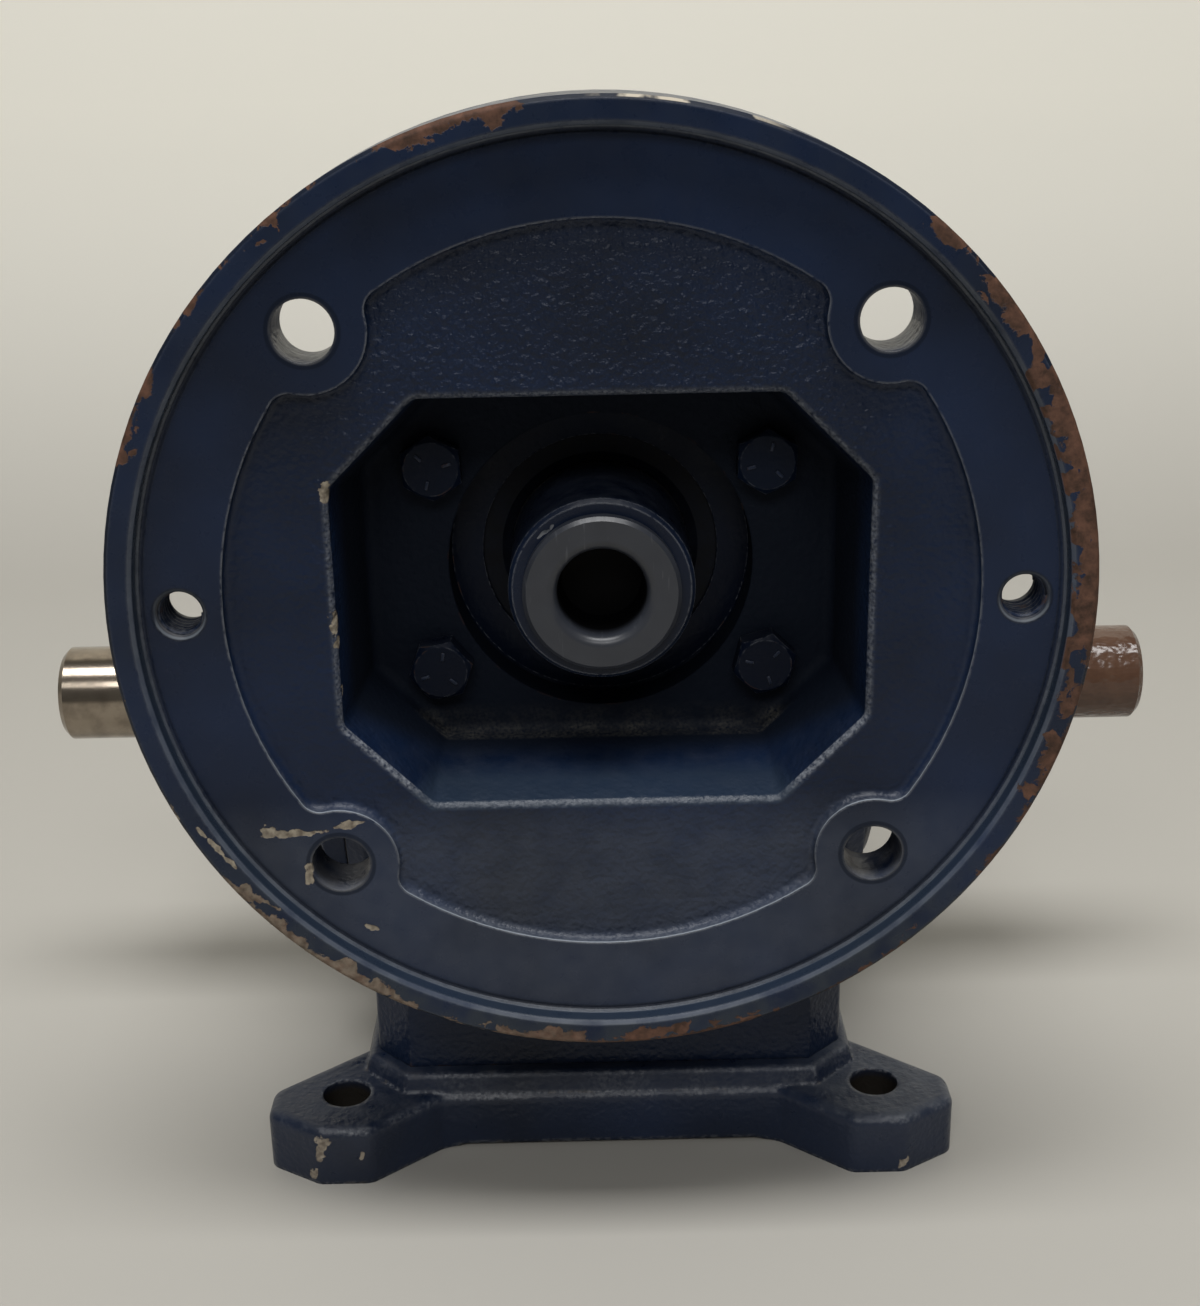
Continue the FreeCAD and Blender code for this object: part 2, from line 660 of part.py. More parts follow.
def worm_shaft():
    front_seat = front_bearing_y + front_bearing["width"]
    rear_seat = rear_bearing_y
    rear_end = rear_seat + rear_bearing["width"] - 0.4
    journal = rear_bearing["inner"]
    nut_thread = journal - 0.3
    ring_at = front_bearing_y - 1.75
    ring_floor = quill_radius - 1.2
    end = house_back - 3.0
    inner = worm_root_radius - 0.2
    quill = turned([
        (quill_front, 0), (quill_front, quill_radius - 1.0), (quill_front + 1.0, quill_radius),
        (ring_at, quill_radius), (ring_at, ring_floor), (ring_at + 1.7, ring_floor),
        (ring_at + 1.7, quill_radius), (front_seat, quill_radius), (front_seat, 26.8),
        (front_seat + 6, 26.8), (front_seat + 12, 17.5), (-36.5, 17.5), (-34.5, inner), (-34.5, 0)])
    tail = turned([
        (34.5, 0), (34.5, inner), (36.5, 17.5), (rear_seat - 6, 17.5), (rear_seat - 6, 18.5),
        (rear_seat, 18.5), (rear_seat, journal), (rear_end, journal), (rear_end, nut_thread),
        (end - 1, nut_thread), (end, nut_thread - 1), (end, 0)])
    shaft = rod(worm_root_radius, -45, 45).fuse(worm_thread()).fuse(quill).fuse(tail)
    bore_end = quill_front + bore_depth
    hollow = turned([
        (quill_front - 1, 0), (quill_front - 1, lead_in_radius + 1.6), (quill_front + 0.6, lead_in_radius),
        (quill_front + lead_in_depth, lead_in_radius), (quill_front + lead_in_depth, input_bore_radius),
        (bore_end, input_bore_radius), (bore_end + 8, 0)])
    key_wide = 0.25 * inch
    keyway = Part.makeBox(bore_depth + 1, key_wide, 17.1, Vec(quill_front - 1, -key_wide / 2, 0))
    return on_worm(shaft.cut(hollow).cut(keyway))


def snap_ring():
    start = front_bearing_y - 1.7
    low, high = quill_radius - 1.15, quill_radius + 2.6
    ring = turned([(start, low), (start, high), (start + 1.6, high), (start + 1.6, low)])
    gap = Part.makeBox(6, 7, 40, Vec(start - 2, -3.5, 5))
    return on_worm(ring.cut(gap))


def lock_washer():
    start = rear_bearing_y + rear_bearing["width"] + 0.05
    ring = turned([(start, 14.8), (start, 22.0), (start + 1.2, 22.0), (start + 1.2, 14.8)])
    for place in around(9, 22.5, 20):
        ring = ring.cut(rod(1.6, start - 1, start + 3, place))
    return on_worm(ring)


def lock_nut():
    start = rear_bearing_y + rear_bearing["width"] + 1.3
    nut = turned([(start, 14.75), (start, 22.0), (start + 6, 22.0), (start + 7, 21.0), (start + 7, 14.75)])
    for y, z in around(4, 22.0):
        slot = Part.makeBox(10, 4, 4, Vec(start - 1, -2, 20.2))
        slot.rotate(Vec(0, 0, 0), Vec(1, 0, 0), math.degrees(math.atan2(z, y)))
        nut = nut.cut(slot)
    return on_worm(nut)


# Output shaft and wheel

seal_seat_radius = 1.25 * inch / 2
wheel_seat_radius = 1.625 * inch / 2
hub_half_wide = 22.0
wheel_key_wide = 9.525


def centre_drilling(end):
    # Sixty degree centre hole with its pilot, in the shaft's end face
    return turned([(end + 1, 0), (end + 1, 4.9), (end - 6.3, 1.6), (end - 11.0, 1.6), (end - 12.0, 0)])


def output_profile():
    step = roller_start + roller_width + 2.0
    nose = cover_nose + 3.0
    end = output_half_length
    half = [(hub_half_wide, roller_inner), (step, roller_inner), (step + 0.8, seal_seat_radius),
            (nose, seal_seat_radius), (nose + 1.2, output_radius), (end - 1.6, output_radius),
            (end, output_radius - 1.6)]
    left = [(-a, r) for a, r in reversed(half)]
    collar = [(-roller_start, roller_inner), (-roller_start, 24.4), (-hub_half_wide, 24.4),
              (-hub_half_wide, wheel_seat_radius)]
    return [(-end, 0)] + left[:-1] + collar + [(hub_half_wide, wheel_seat_radius)] + half + [(end, 0)]


def output_shaft():
    shaft = turned(output_profile())
    end = output_half_length
    key_wide = 0.25 * inch
    for side in (-1, 1):
        far = side * (end - 25)
        slot = Part.makeBox(60, key_wide, 10, Vec(far - 30, -key_wide / 2, output_radius - 3.2))
        slot.rotate(Vec(0, 0, 0), Vec(1, 0, 0), -150)
        drilling = centre_drilling(end)
        drilling.rotate(Vec(0, 0, 0), Vec(0, 0, 1), 90 - 90 * side)
        shaft = shaft.cut(slot).cut(drilling)
    seat = Part.makeBox(36, wheel_key_wide, 20, Vec(-18, -wheel_key_wide / 2, wheel_seat_radius - 4.8))
    return on_output(shaft.cut(seat))


def wheel_key():
    corner = Vec(-17.9, 0.02 - wheel_key_wide / 2, wheel_seat_radius - 4.78)
    return on_output(Part.makeBox(35.8, wheel_key_wide - 0.04, 9.4, corner))


def wheel_hub():
    bore = wheel_seat_radius + seat_gap
    body = turned([
        (-hub_half_wide, bore), (-hub_half_wide, 30.0), (-11.0, 31.0), (-11.0, 35.95), (11.0, 35.95),
        (11.0, 31.0), (hub_half_wide, 30.0), (hub_half_wide, bore)])
    slot = Part.makeBox(60, wheel_key_wide, wheel_seat_radius + 5.0, Vec(-30, -wheel_key_wide / 2, 0))
    return on_output(body.cut(slot))


def wheel_spacer():
    bore = roller_inner + seat_gap
    sleeve = [(hub_half_wide, bore), (hub_half_wide, 24.4), (roller_start, 24.4), (roller_start, bore)]
    return on_output(turned(sleeve))


def flank_half_angle(radius):
    # Half of the tooth's angle at this radius, from the involute of the base circle
    base = wheel_pitch_radius * math.cos(pressure)
    slope = math.acos(min(1.0, base / radius))
    tooth = (thread_pitch / 2 - tooth_thin) / (2 * wheel_pitch_radius)
    return tooth + math.tan(pressure) - pressure - math.tan(slope) + slope


def wheel_section(along, turn):
    # Closed outline of all the teeth in the plane X = along, a tooth space at the top
    root = wheel_pitch_radius - 1.2 * module
    tip = wheel_pitch_radius + 1.27 * module
    base = wheel_pitch_radius * math.cos(pressure)
    steps = [root] + [base + (tip - base) * s / 4 for s in range(5)]

    def point(radius, angle):
        return Vec(along, -radius * math.sin(angle), radius * math.cos(angle))

    edges = []
    for tooth in range(wheel_teeth):
        middle = turn + 2 * math.pi * (tooth + 0.5) / wheel_teeth
        rising = [point(r, middle - flank_half_angle(r)) for r in steps]
        falling = [point(r, middle + flank_half_angle(r)) for r in reversed(steps)]
        after = middle + 2 * math.pi / wheel_teeth
        valley = middle + math.pi / wheel_teeth
        for run in (rising, falling):
            curve = Part.BSplineCurve()
            curve.interpolate(run)
            edges.append(curve.toShape())
            if run is rising:
                edges.append(Part.Arc(run[-1], point(tip, middle), falling[0]).toShape())
        first_next = point(root, after - flank_half_angle(root))
        edges.append(Part.Arc(falling[-1], point(root, valley), first_next).toShape())
    return Part.Wire(edges)


def wheel_rim():
    lead = module / worm_pitch_radius
    twist = lead * wheel_half_face / wheel_pitch_radius
    side = wheel_half_face
    teeth = Part.makeLoft([wheel_section(-side, -twist), wheel_section(side, twist)], True, True)
    tip = wheel_pitch_radius + 1.24 * module
    half = [(side - 3, tip), (side, 50.0), (side, 35.97)]
    blank = turned([(-a, r) for a, r in reversed(half)] + half)
    throat = Part.makeTorus(centre_distance, worm_root_radius + 0.2 * module, Vec(0, 0, 0), Vec(1, 0, 0))
    return on_output(teeth.common(blank).cut(throat))


# Push-in plug that closes the input bore until a motor is fitted

def bore_plug():
    front = quill_front - 3.7
    back = quill_front + 12.0
    cup = lead_in_radius - running_gap
    mouth = 10.8
    brim = 19.0
    body = turned([
        (front, mouth), (front, brim - 0.9), (front + 0.9, brim), (quill_front - 0.1, brim),
        (quill_front - 0.1, cup), (back - 2, cup), (back, cup - 1.2), (back, 0), (back - 1.6, 0),
        (back - 1.6, mouth - 1.0), (front + 4.0, mouth)])
    round_mouth = 2 * math.pi * mouth
    lip = [e for e in body.Edges if abs(e.Length - round_mouth) < 0.01 and e.BoundBox.XMax < front + 0.01]
    return on_worm(body.makeFillet(2.6, lip))


os.makedirs("parts", exist_ok=True)
save("motor_flange", motor_flange())
save("flange_bolts", flange_bolts())
save("flange_gasket", flange_gasket())
save("gear_housing", gear_housing())
save("base", base())
save("base_bolts", base_bolts())
save("drain_plug", drain_plug())
save("level_plug", level_plug())
save("breather", breather())
for side, word in ((-1, "left"), (1, "right")):
    save("output_cover_" + word, output_cover(side))
    save("cover_gasket_" + word, cover_gasket(side))
    save("cover_bolts_" + word, cover_screws(side))
    save("output_seal_" + word, output_seal(side))
    save("output_bearing_cone_" + word, roller_cone(side))
    save("output_bearing_cup_" + word, roller_cup(side))
    save("output_rollers_" + word, roller_set(side))
save("rear_cap", rear_cap())
save("rear_cap_gasket", rear_gasket())
save("rear_cap_bolts", rear_screws())
save("seal_carrier", seal_carrier())
save("carrier_ring", carrier_ring())
save("input_seal", input_seal())
worm_bearings = ((front_bearing, front_bearing_y, "front"), (rear_bearing, rear_bearing_y, "rear"))
for bearing, along, word in worm_bearings:
    save(word + "_bearing_outer", on_worm(ball_ring(bearing, True), along))
    save(word + "_bearing_inner", on_worm(ball_ring(bearing, False), along))
    save(word + "_bearing_balls", on_worm(ball_set(bearing), along))
save("worm_shaft", worm_shaft())
save("snap_ring", snap_ring())
save("lock_washer", lock_washer())
save("lock_nut", lock_nut())
save("output_shaft", output_shaft())
save("wheel_key", wheel_key())
save("wheel_hub", wheel_hub())
save("wheel_spacer", wheel_spacer())
save("wheel_rim", wheel_rim())
save("bore_plug", bore_plug())
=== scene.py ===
import bpy
import bmesh
import json
import math
from mathutils import Matrix, Vector


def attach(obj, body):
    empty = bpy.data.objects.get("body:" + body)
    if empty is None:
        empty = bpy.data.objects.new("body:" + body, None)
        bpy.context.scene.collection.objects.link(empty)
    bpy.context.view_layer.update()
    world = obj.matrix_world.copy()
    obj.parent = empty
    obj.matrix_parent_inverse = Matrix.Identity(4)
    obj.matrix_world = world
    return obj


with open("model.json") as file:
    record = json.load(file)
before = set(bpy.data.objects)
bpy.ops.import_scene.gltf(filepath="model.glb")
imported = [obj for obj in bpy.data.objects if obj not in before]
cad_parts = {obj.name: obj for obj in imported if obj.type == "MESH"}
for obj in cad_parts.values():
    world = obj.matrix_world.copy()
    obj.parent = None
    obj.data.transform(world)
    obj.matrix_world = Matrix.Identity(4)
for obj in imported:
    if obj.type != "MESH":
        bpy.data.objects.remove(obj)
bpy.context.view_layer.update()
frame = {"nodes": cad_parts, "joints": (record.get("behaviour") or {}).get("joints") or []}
nodes = frame["nodes"]
scene = bpy.context.scene
mm = 0.001
axisHeights = {joint["name"]: joint["pos_m"][2] for joint in frame["joints"] if "pos_m" in joint}
wormHeight = axisHeights["worm_spin"]
outputHeight = axisHeights["output_spin"]
print("frame loaded:", len(nodes), "nodes")


# sRGB hex to linear colour
def linear(hexColour):
    parts = [int(hexColour[i:i + 2], 16) / 255 for i in (0, 2, 4)]
    return [p / 12.92 if p <= 0.04045 else ((p + 0.055) / 1.055) ** 2.4 for p in parts] + [1.0]


# adds one node, sets its values or links its inputs, and gives back one output
def put(tree, kind, inputs=None, out=0, **settings):
    node = tree.nodes.new("ShaderNode" + kind)
    for key, value in settings.items():
        setattr(node, key, value)
    for key, value in (inputs or {}).items():
        if isinstance(value, bpy.types.NodeSocket):
            tree.links.new(value, node.inputs[key])
        else:
            node.inputs[key].default_value = value
    return node.outputs[out] if node.outputs else node


def newMaterial(name):
    material = bpy.data.materials.new(name)
    material.use_nodes = True
    tree = material.node_tree
    tree.nodes.clear()
    return material, tree, put(tree, "TexCoord", out="Object")


def finishMaterial(tree, values):
    put(tree, "OutputMaterial", {"Surface": put(tree, "BsdfPrincipled", values)})


# the same with a second, matt shader with weak specular where a mask says; it deepens painted shade as well
# as dirt
def finishShadeAndDirt(tree, values, mask, rough, shine):
    clean = put(tree, "BsdfPrincipled", values)
    dirty = put(tree, "BsdfPrincipled", {**values, "Roughness": rough, "Specular IOR Level": shine})
    put(tree, "OutputMaterial", {"Surface": put(tree, "MixShader", {0: mask, 1: clean, 2: dirty})})


def dress(names, material):
    for name in names:
        mesh = nodes[name].data
        mesh.materials.clear()
        mesh.materials.append(material)


# camera where the photograph was taken from, found from the flange's bolt holes; place in mm
camera = {"place": (-2.9, -525.4, 306.4), "yaw": 0.30, "pitch": -19.78, "roll": -1.1, "lens": 49.74,
          "clipStart": 0.01}


def addCamera(opts):
    yaw, pitch, roll = (math.radians(opts[k]) for k in ("yaw", "pitch", "roll"))
    ahead = Vector((math.sin(yaw) * math.cos(pitch), math.cos(yaw) * math.cos(pitch), math.sin(pitch)))
    side = ahead.cross(Vector((0, 0, 1))).normalized()
    up = side.cross(ahead)
    sideRolled = side * math.cos(roll) + up * math.sin(roll)
    upRolled = up * math.cos(roll) - side * math.sin(roll)
    data = bpy.data.cameras.new("camera")
    data.lens = opts["lens"]
    data.clip_start = opts["clipStart"]
    cam = bpy.data.objects.new("camera", data)
    cam.matrix_world = Matrix((sideRolled, upRolled, -ahead)).transposed().to_4x4()
    cam.location = Vector(opts["place"]) * mm
    scene.collection.objects.link(cam)
    scene.camera = cam


addCamera(camera)

# pale floor that curves up into a pale wall; sizes in metres
backdrop = {"floor": "ABA8A1", "wall": "EFECE1", "front": -6.0, "back": 0.70, "half": 5.0, "high": 2.6,
            "curve": 0.25, "segments": 12, "rough": 0.9}


def addBackdrop(opts):
    bm = bmesh.new()
    corners = [(-opts["half"], opts["front"], 0), (opts["half"], opts["front"], 0),
               (opts["half"], opts["back"], 0), (-opts["half"], opts["back"], 0)]
    bm.faces.new([bm.verts.new(c) for c in corners])
    far = [e for e in bm.edges if all(v.co.y > 0 for v in e.verts)]
    wall = bmesh.ops.extrude_edge_only(bm, edges=far)
    lifted = [g for g in wall["geom"] if isinstance(g, bmesh.types.BMVert)]
    bmesh.ops.translate(bm, verts=lifted, vec=(0, 0, opts["high"]))
    bmesh.ops.bevel(bm, geom=far, offset=opts["curve"], segments=opts["segments"], profile=0.5,
                    affect="EDGES", material=-1)
    bmesh.ops.recalc_face_normals(bm, faces=bm.faces)
    mesh = bpy.data.meshes.new("backdrop")
    bm.to_mesh(mesh)
    bm.free()
    for face in mesh.polygons:
        face.use_smooth = True
    obj = bpy.data.objects.new("backdrop", mesh)
    scene.collection.objects.link(obj)
    material, tree, coords = newMaterial("matte studio card")
    height = put(tree, "SeparateXYZ", {"Vector": coords}, out="Z")
    rise = put(tree, "MapRange", {"Value": height, "From Min": 0.0, "From Max": opts["curve"]})
    colour = put(tree, "Mix", {"Factor": rise, "A": linear(opts["floor"]), "B": linear(opts["wall"])},
                 out="Result", data_type="RGBA")
    finishMaterial(tree, {"Base Color": colour, "Roughness": opts["rough"]})
    mesh.materials.append(material)


addBackdrop(backdrop)

# two long soft boxes, one steep and one lower in front, and a weak room fill; places and sizes in metres
lights = {
    "steep box": {"at": (0.0, -0.52, 1.93), "aim": (0, -0.04, 0.1), "long": 1.5, "wide": 0.62, "watts": 34},
    "front box": {"at": (-0.1, -1.72, 1.52), "aim": (0, 0, 0.1), "long": 1.3, "wide": 0.46, "watts": 12},
}
roomFill = {"colour": "E6E5E1", "strength": 0.18}


def addLights(opts, fill):
    for name, one in opts.items():
        data = bpy.data.lights.new(name, "AREA")
        data.shape = "RECTANGLE"
        data.size = one["long"]
        data.size_y = one["wide"]
        data.energy = one["watts"]
        lamp = bpy.data.objects.new(name, data)
        lamp.location = one["at"]
        towards = Vector(one["aim"]) - Vector(one["at"])
        lamp.rotation_euler = towards.to_track_quat("-Z", "Y").to_euler()
        scene.collection.objects.link(lamp)
    world = bpy.data.worlds.new("soft room")
    world.use_nodes = True
    room = world.node_tree.nodes["Background"]
    room.inputs["Color"].default_value = linear(fill["colour"])
    room.inputs["Strength"].default_value = fill["strength"]
    scene.world = world


addLights(lights, roomFill)
scene.view_settings.view_transform = "Standard"
print("camera, backdrop and lights placed")

# alkyd enamel sprayed over sand-cast iron: dark blue, half gloss, pebbled by the mould, chalky on worn edges
enamel = {
    "deep": "0D1729", "fresh": "15243F", "dust": "6A6E75", "chalk": "74777D", "rust": "46322A",
    "tan": "5A4639",
    # sizes of the patterns and heights of the bumps, in mm
    "cloudMm": 45, "patchMm": 6, "grainMm": 1.3, "pebbleMm": 1.9, "lumpMm": 5.0, "peelMm": 0.9, "edgeMm": 0.9,
    "grainHigh": 0.64, "peelHigh": 0.02, "paintThick": 0.1, "lumpShare": 0.8, "pebbleShare": -0.65,
    "rough": (0.24, 0.34), "castDull": 0.11, "dull": 0.62, "shine": 0.26, "dustShare": 0.12,
    "scuffShare": 0.40, "rubFrom": 0.45, "rubSoft": 0.17, "chipFrom": 0.60, "chipSoft": 0.03,
    "edgeFrom": 0.995, "edgeFull": 0.90,
}


# paint colour, roughness and normal over a casting; cast is 1 on rough faces and 0 on machined ones,
# layers are masks with the colour that lies over the paint there, bare is where the paint is gone
def enamelLook(tree, coords, opts, cast=1.0, layers=(), bare=None, bareColour=None, chips=1.0):
    flat = put(tree, "NewGeometry", out="Normal")
    rounded = put(tree, "Bevel", {"Radius": opts["edgeMm"] * mm}, samples=4)
    match = put(tree, "VectorMath", {0: flat, 1: rounded}, out="Value", operation="DOT_PRODUCT")
    edges = put(tree, "MapRange", {"Value": match, "From Min": opts["edgeFrom"],
                                   "From Max": opts["edgeFull"]})
    upward = put(tree, "SeparateXYZ", {"Vector": flat}, out="Z")
    cloud = put(tree, "TexNoise", {"Vector": coords, "Scale": 1 / (opts["cloudMm"] * mm), "Detail": 3.0})
    patch = put(tree, "TexNoise", {"Vector": coords, "Scale": 1 / (opts["patchMm"] * mm), "Detail": 4.0,
                                   "Roughness": 0.6})
    fine = put(tree, "TexNoise", {"Vector": coords, "Scale": 1 / (opts["grainMm"] * mm), "Detail": 2.0})
    stone = put(tree, "TexVoronoi", {"Vector": coords, "Scale": 1 / (opts["pebbleMm"] * mm),
                                     "Smoothness": 0.6}, out="Distance", feature="SMOOTH_F1")
    lump = put(tree, "TexNoise", {"Vector": coords, "Scale": 1 / (opts["lumpMm"] * mm), "Detail": 1.0})
    peel = put(tree, "TexNoise", {"Vector": coords, "Scale": 1 / (opts["peelMm"] * mm), "Detail": 1.0})
    # a little dust lies where the paint faces up
    level = put(tree, "MapRange", {"Value": upward, "From Min": 0.4, "From Max": 0.95,
                                   "To Max": opts["dustShare"]}, interpolation_type="SMOOTHSTEP")
    settled = put(tree, "MapRange", {"Value": patch, "From Min": 0.35, "From Max": 0.70, "To Max": level})
    # edges chalk first, and break through to the iron in flecks
    rubbed = put(tree, "MapRange", {"Value": fine, "From Min": opts["rubFrom"],
                                    "From Max": opts["rubFrom"] + opts["rubSoft"],
                                    "To Max": opts["scuffShare"]})
    scuffed = put(tree, "Math", {0: edges, 1: rubbed}, operation="MULTIPLY")
    fleck = put(tree, "MapRange", {"Value": patch, "From Min": opts["chipFrom"],
                                   "From Max": opts["chipFrom"] + opts["chipSoft"], "To Max": chips})
    broken = put(tree, "Math", {0: edges, 1: fleck}, operation="MULTIPLY")
    if bare is not None:
        broken = put(tree, "Math", {0: bare, 1: broken}, operation="MAXIMUM")
    if bareColour is None:
        bareColour = put(tree, "Mix", {"Factor": patch, "A": linear(opts["rust"]), "B": linear(opts["tan"])},
                         out="Result", data_type="RGBA")
    tone = put(tree, "MapRange", {"Value": cloud, "From Min": 0.3, "From Max": 0.7})
    colour = put(tree, "Mix", {"Factor": tone, "A": linear(opts["deep"]), "B": linear(opts["fresh"])},
                 out="Result", data_type="RGBA")
    over = [(settled, linear(opts["dust"])), (scuffed, linear(opts["chalk"]))]
    over += [(mask, linear(tint)) for mask, tint in layers]
    for mask, tint in over + [(broken, bareColour)]:
        colour = put(tree, "Mix", {"Factor": mask, "A": colour, "B": tint}, out="Result", data_type="RGBA")
    # rough faces and dust are duller, and bare iron is dull all over
    smooth, coarse = opts["rough"]
    rough = put(tree, "MapRange", {"Value": patch, "From Min": 0.3, "From Max": 0.7, "To Min": smooth,
                                   "To Max": coarse})
    rough = put(tree, "Math", {0: cast, 1: opts["castDull"], 2: rough}, operation="MULTIPLY_ADD")
    rough = put(tree, "Math", {0: rough, 1: settled}, operation="ADD")
    rough = put(tree, "Mix", {"Factor": broken, "A": rough, "B": opts["dull"]}, out="Result")
    # mould grain, then the paint's own orange peel, then the step down to bare iron
    pebble = put(tree, "Math", {0: lump, 1: opts["lumpShare"], 2: fine}, operation="MULTIPLY_ADD")
    pebble = put(tree, "Math", {0: stone, 1: opts["pebbleShare"], 2: pebble}, operation="MULTIPLY_ADD")
    pebble = put(tree, "Math", {0: pebble, 1: cast}, operation="MULTIPLY")
    normal = put(tree, "Bump", {"Height": pebble, "Strength": 1.0, "Distance": opts["grainHigh"] * mm,
                                "Normal": rounded})
    normal = put(tree, "Bump", {"Height": peel, "Strength": 1.0, "Distance": opts["peelHigh"] * mm,
                                "Normal": normal})
    if bare is not None:
        normal = put(tree, "Bump", {"Height": bare, "Strength": 1.0, "Distance": opts["paintThick"] * mm,
                                    "Normal": normal}, invert=True)
    return {"Base Color": colour, "Roughness": rough, "Normal": normal, "Specular IOR Level": opts["shine"]}


def castEnamel(name, cast, **changes):
    material, tree, coords = newMaterial(name)
    finishMaterial(tree, enamelLook(tree, coords, {**enamel, **changes}, cast))
    return material


# keeps a mask only between two values of a measure in mm, with soft ends
def within(tree, mask, value, low, high, soft):
    for begin, full in ((low - soft, low), (high + soft, high)):
        mask = put(tree, "MapRange", {"Value": value, "From Min": begin * mm, "From Max": full * mm,
                                      "To Max": mask})
    return mask


# the same for several measures by name; each band is low, high and soft end in mm
def banded(tree, mask, measures, bands):
    for word, (low, high, soft) in bands.items():
        mask = within(tree, mask, measures[word], low, high, soft)
    return mask


# how knocks are drawn: pulled about by noise of this size, this deep, with a sharp edge
knockShape = {"raggedMm": 2.0, "pull": (1.6, 0.0, 3.0), "deepMm": 2.4, "outside": 1.05, "inside": 0.92}


# uneven spots, each an ellipse at X, Z with half length, half width and turn; 1 inside
def knocks(tree, coords, places, planeMm):
    opts = knockShape
    ragged = put(tree, "TexNoise", {"Vector": coords, "Scale": 1 / (opts["raggedMm"] * mm), "Detail": 4.0},
                 out="Color")
    ragged = put(tree, "VectorMath", {0: ragged, 1: (0.5, 0.5, 0.5)}, operation="SUBTRACT")
    nearest = 9.0  # farther than any edge
    for x, z, halfLong, halfWide, turn in places:
        local = put(tree, "Mapping", {"Vector": coords, "Location": (x * mm, planeMm * mm, z * mm),
                                      "Rotation": (0, -math.radians(turn), 0),
                                      "Scale": (halfLong * mm, opts["deepMm"] * mm, halfWide * mm)},
                    vector_type="TEXTURE")
        local = put(tree, "VectorMath", {0: ragged, 1: opts["pull"], 2: local}, operation="MULTIPLY_ADD")
        away = put(tree, "VectorMath", {0: local}, out="Value", operation="LENGTH")
        nearest = put(tree, "Math", {0: nearest, 1: away}, operation="MINIMUM")
    return put(tree, "MapRange", {"Value": nearest, "From Min": opts["outside"], "From Max": opts["inside"]})


# chipped paint shows two greys of old primer
def primer(tree, coords, dark, pale, grainMm=1.6):
    grain = put(tree, "TexNoise", {"Vector": coords, "Scale": 1 / (grainMm * mm), "Detail": 4.0})
    share = put(tree, "MapRange", {"Value": grain, "From Min": 0.35, "From Max": 0.65})
    return put(tree, "Mix", {"Factor": share, "A": linear(dark), "B": linear(pale)}, out="Result",
               data_type="RGBA")


# the same paint with more or less grain, darker and duller as painted shade on the parts in the pocket and
# under the flange, rubbed grey on the ticks there
roughEnamel = castEnamel("navy enamel on cast iron", cast=0.3)
smoothEnamel = castEnamel("navy enamel on turned iron", cast=0.2)
boltEnamel = castEnamel("navy enamel on forged bolts", cast=0.1, edgeMm=0.5)
shadedEnamel = castEnamel("sooty navy enamel", cast=0.12, edgeMm=0.5, deep="090F1D", fresh="0D1728",
                         shine=0.09, scuffShare=0.6)
rubbedEnamel = castEnamel("rubbed navy enamel", cast=0.1, edgeMm=0.5, chalk="4A4E58", scuffShare=0.8,
                          rubFrom=0.2)

# base: rubbed pale along its edges, with painted highlight specks on the chamfers, dusty with painted sheen
# on the right foot, chipped at two corners, dirty in its holes
baseWear = {
    "holeX": 74.61, "holeY": 85.73, "frontY": -102.9, "gritMm": 1.1, "smearMm": 9, "cast": 0.24, "chips": 0.5,
    "dirt": "2E291F", "dust": "61666E", "primerDark": "6B6156", "primerPale": "A09687",
    "dirtShare": 0.85, "topDustAndSheen": 0.42, "rubbed": 0.55,
    "paint": {"deep": "121C2E", "fresh": "1D2A43", "chalk": "8B8E94", "scuffShare": 0.8, "edgeMm": 1.8,
              "dustShare": 0.16, "shine": 0.45},
    # where dirt, and dust with painted sheen, lie: low, high and soft end in mm
    "dirtyBand": {"fromHole": (-1, 7.2, 0.3), "z": (-1, 14.5, 3)}, "dustAndSheenBand": {"x": (62, 120, 12)},
    "knocks": [(-80.2, 11.6, 4.6, 1.7, 84), (-78.6, 13.6, 1.6, 1.2, 20), (-82.5, 3.2, 2.2, 1.0, 60),
               (80.6, 3.0, 2.6, 1.1, 48), (-69.0, 9.0, 1.6, 0.7, 80)],
}


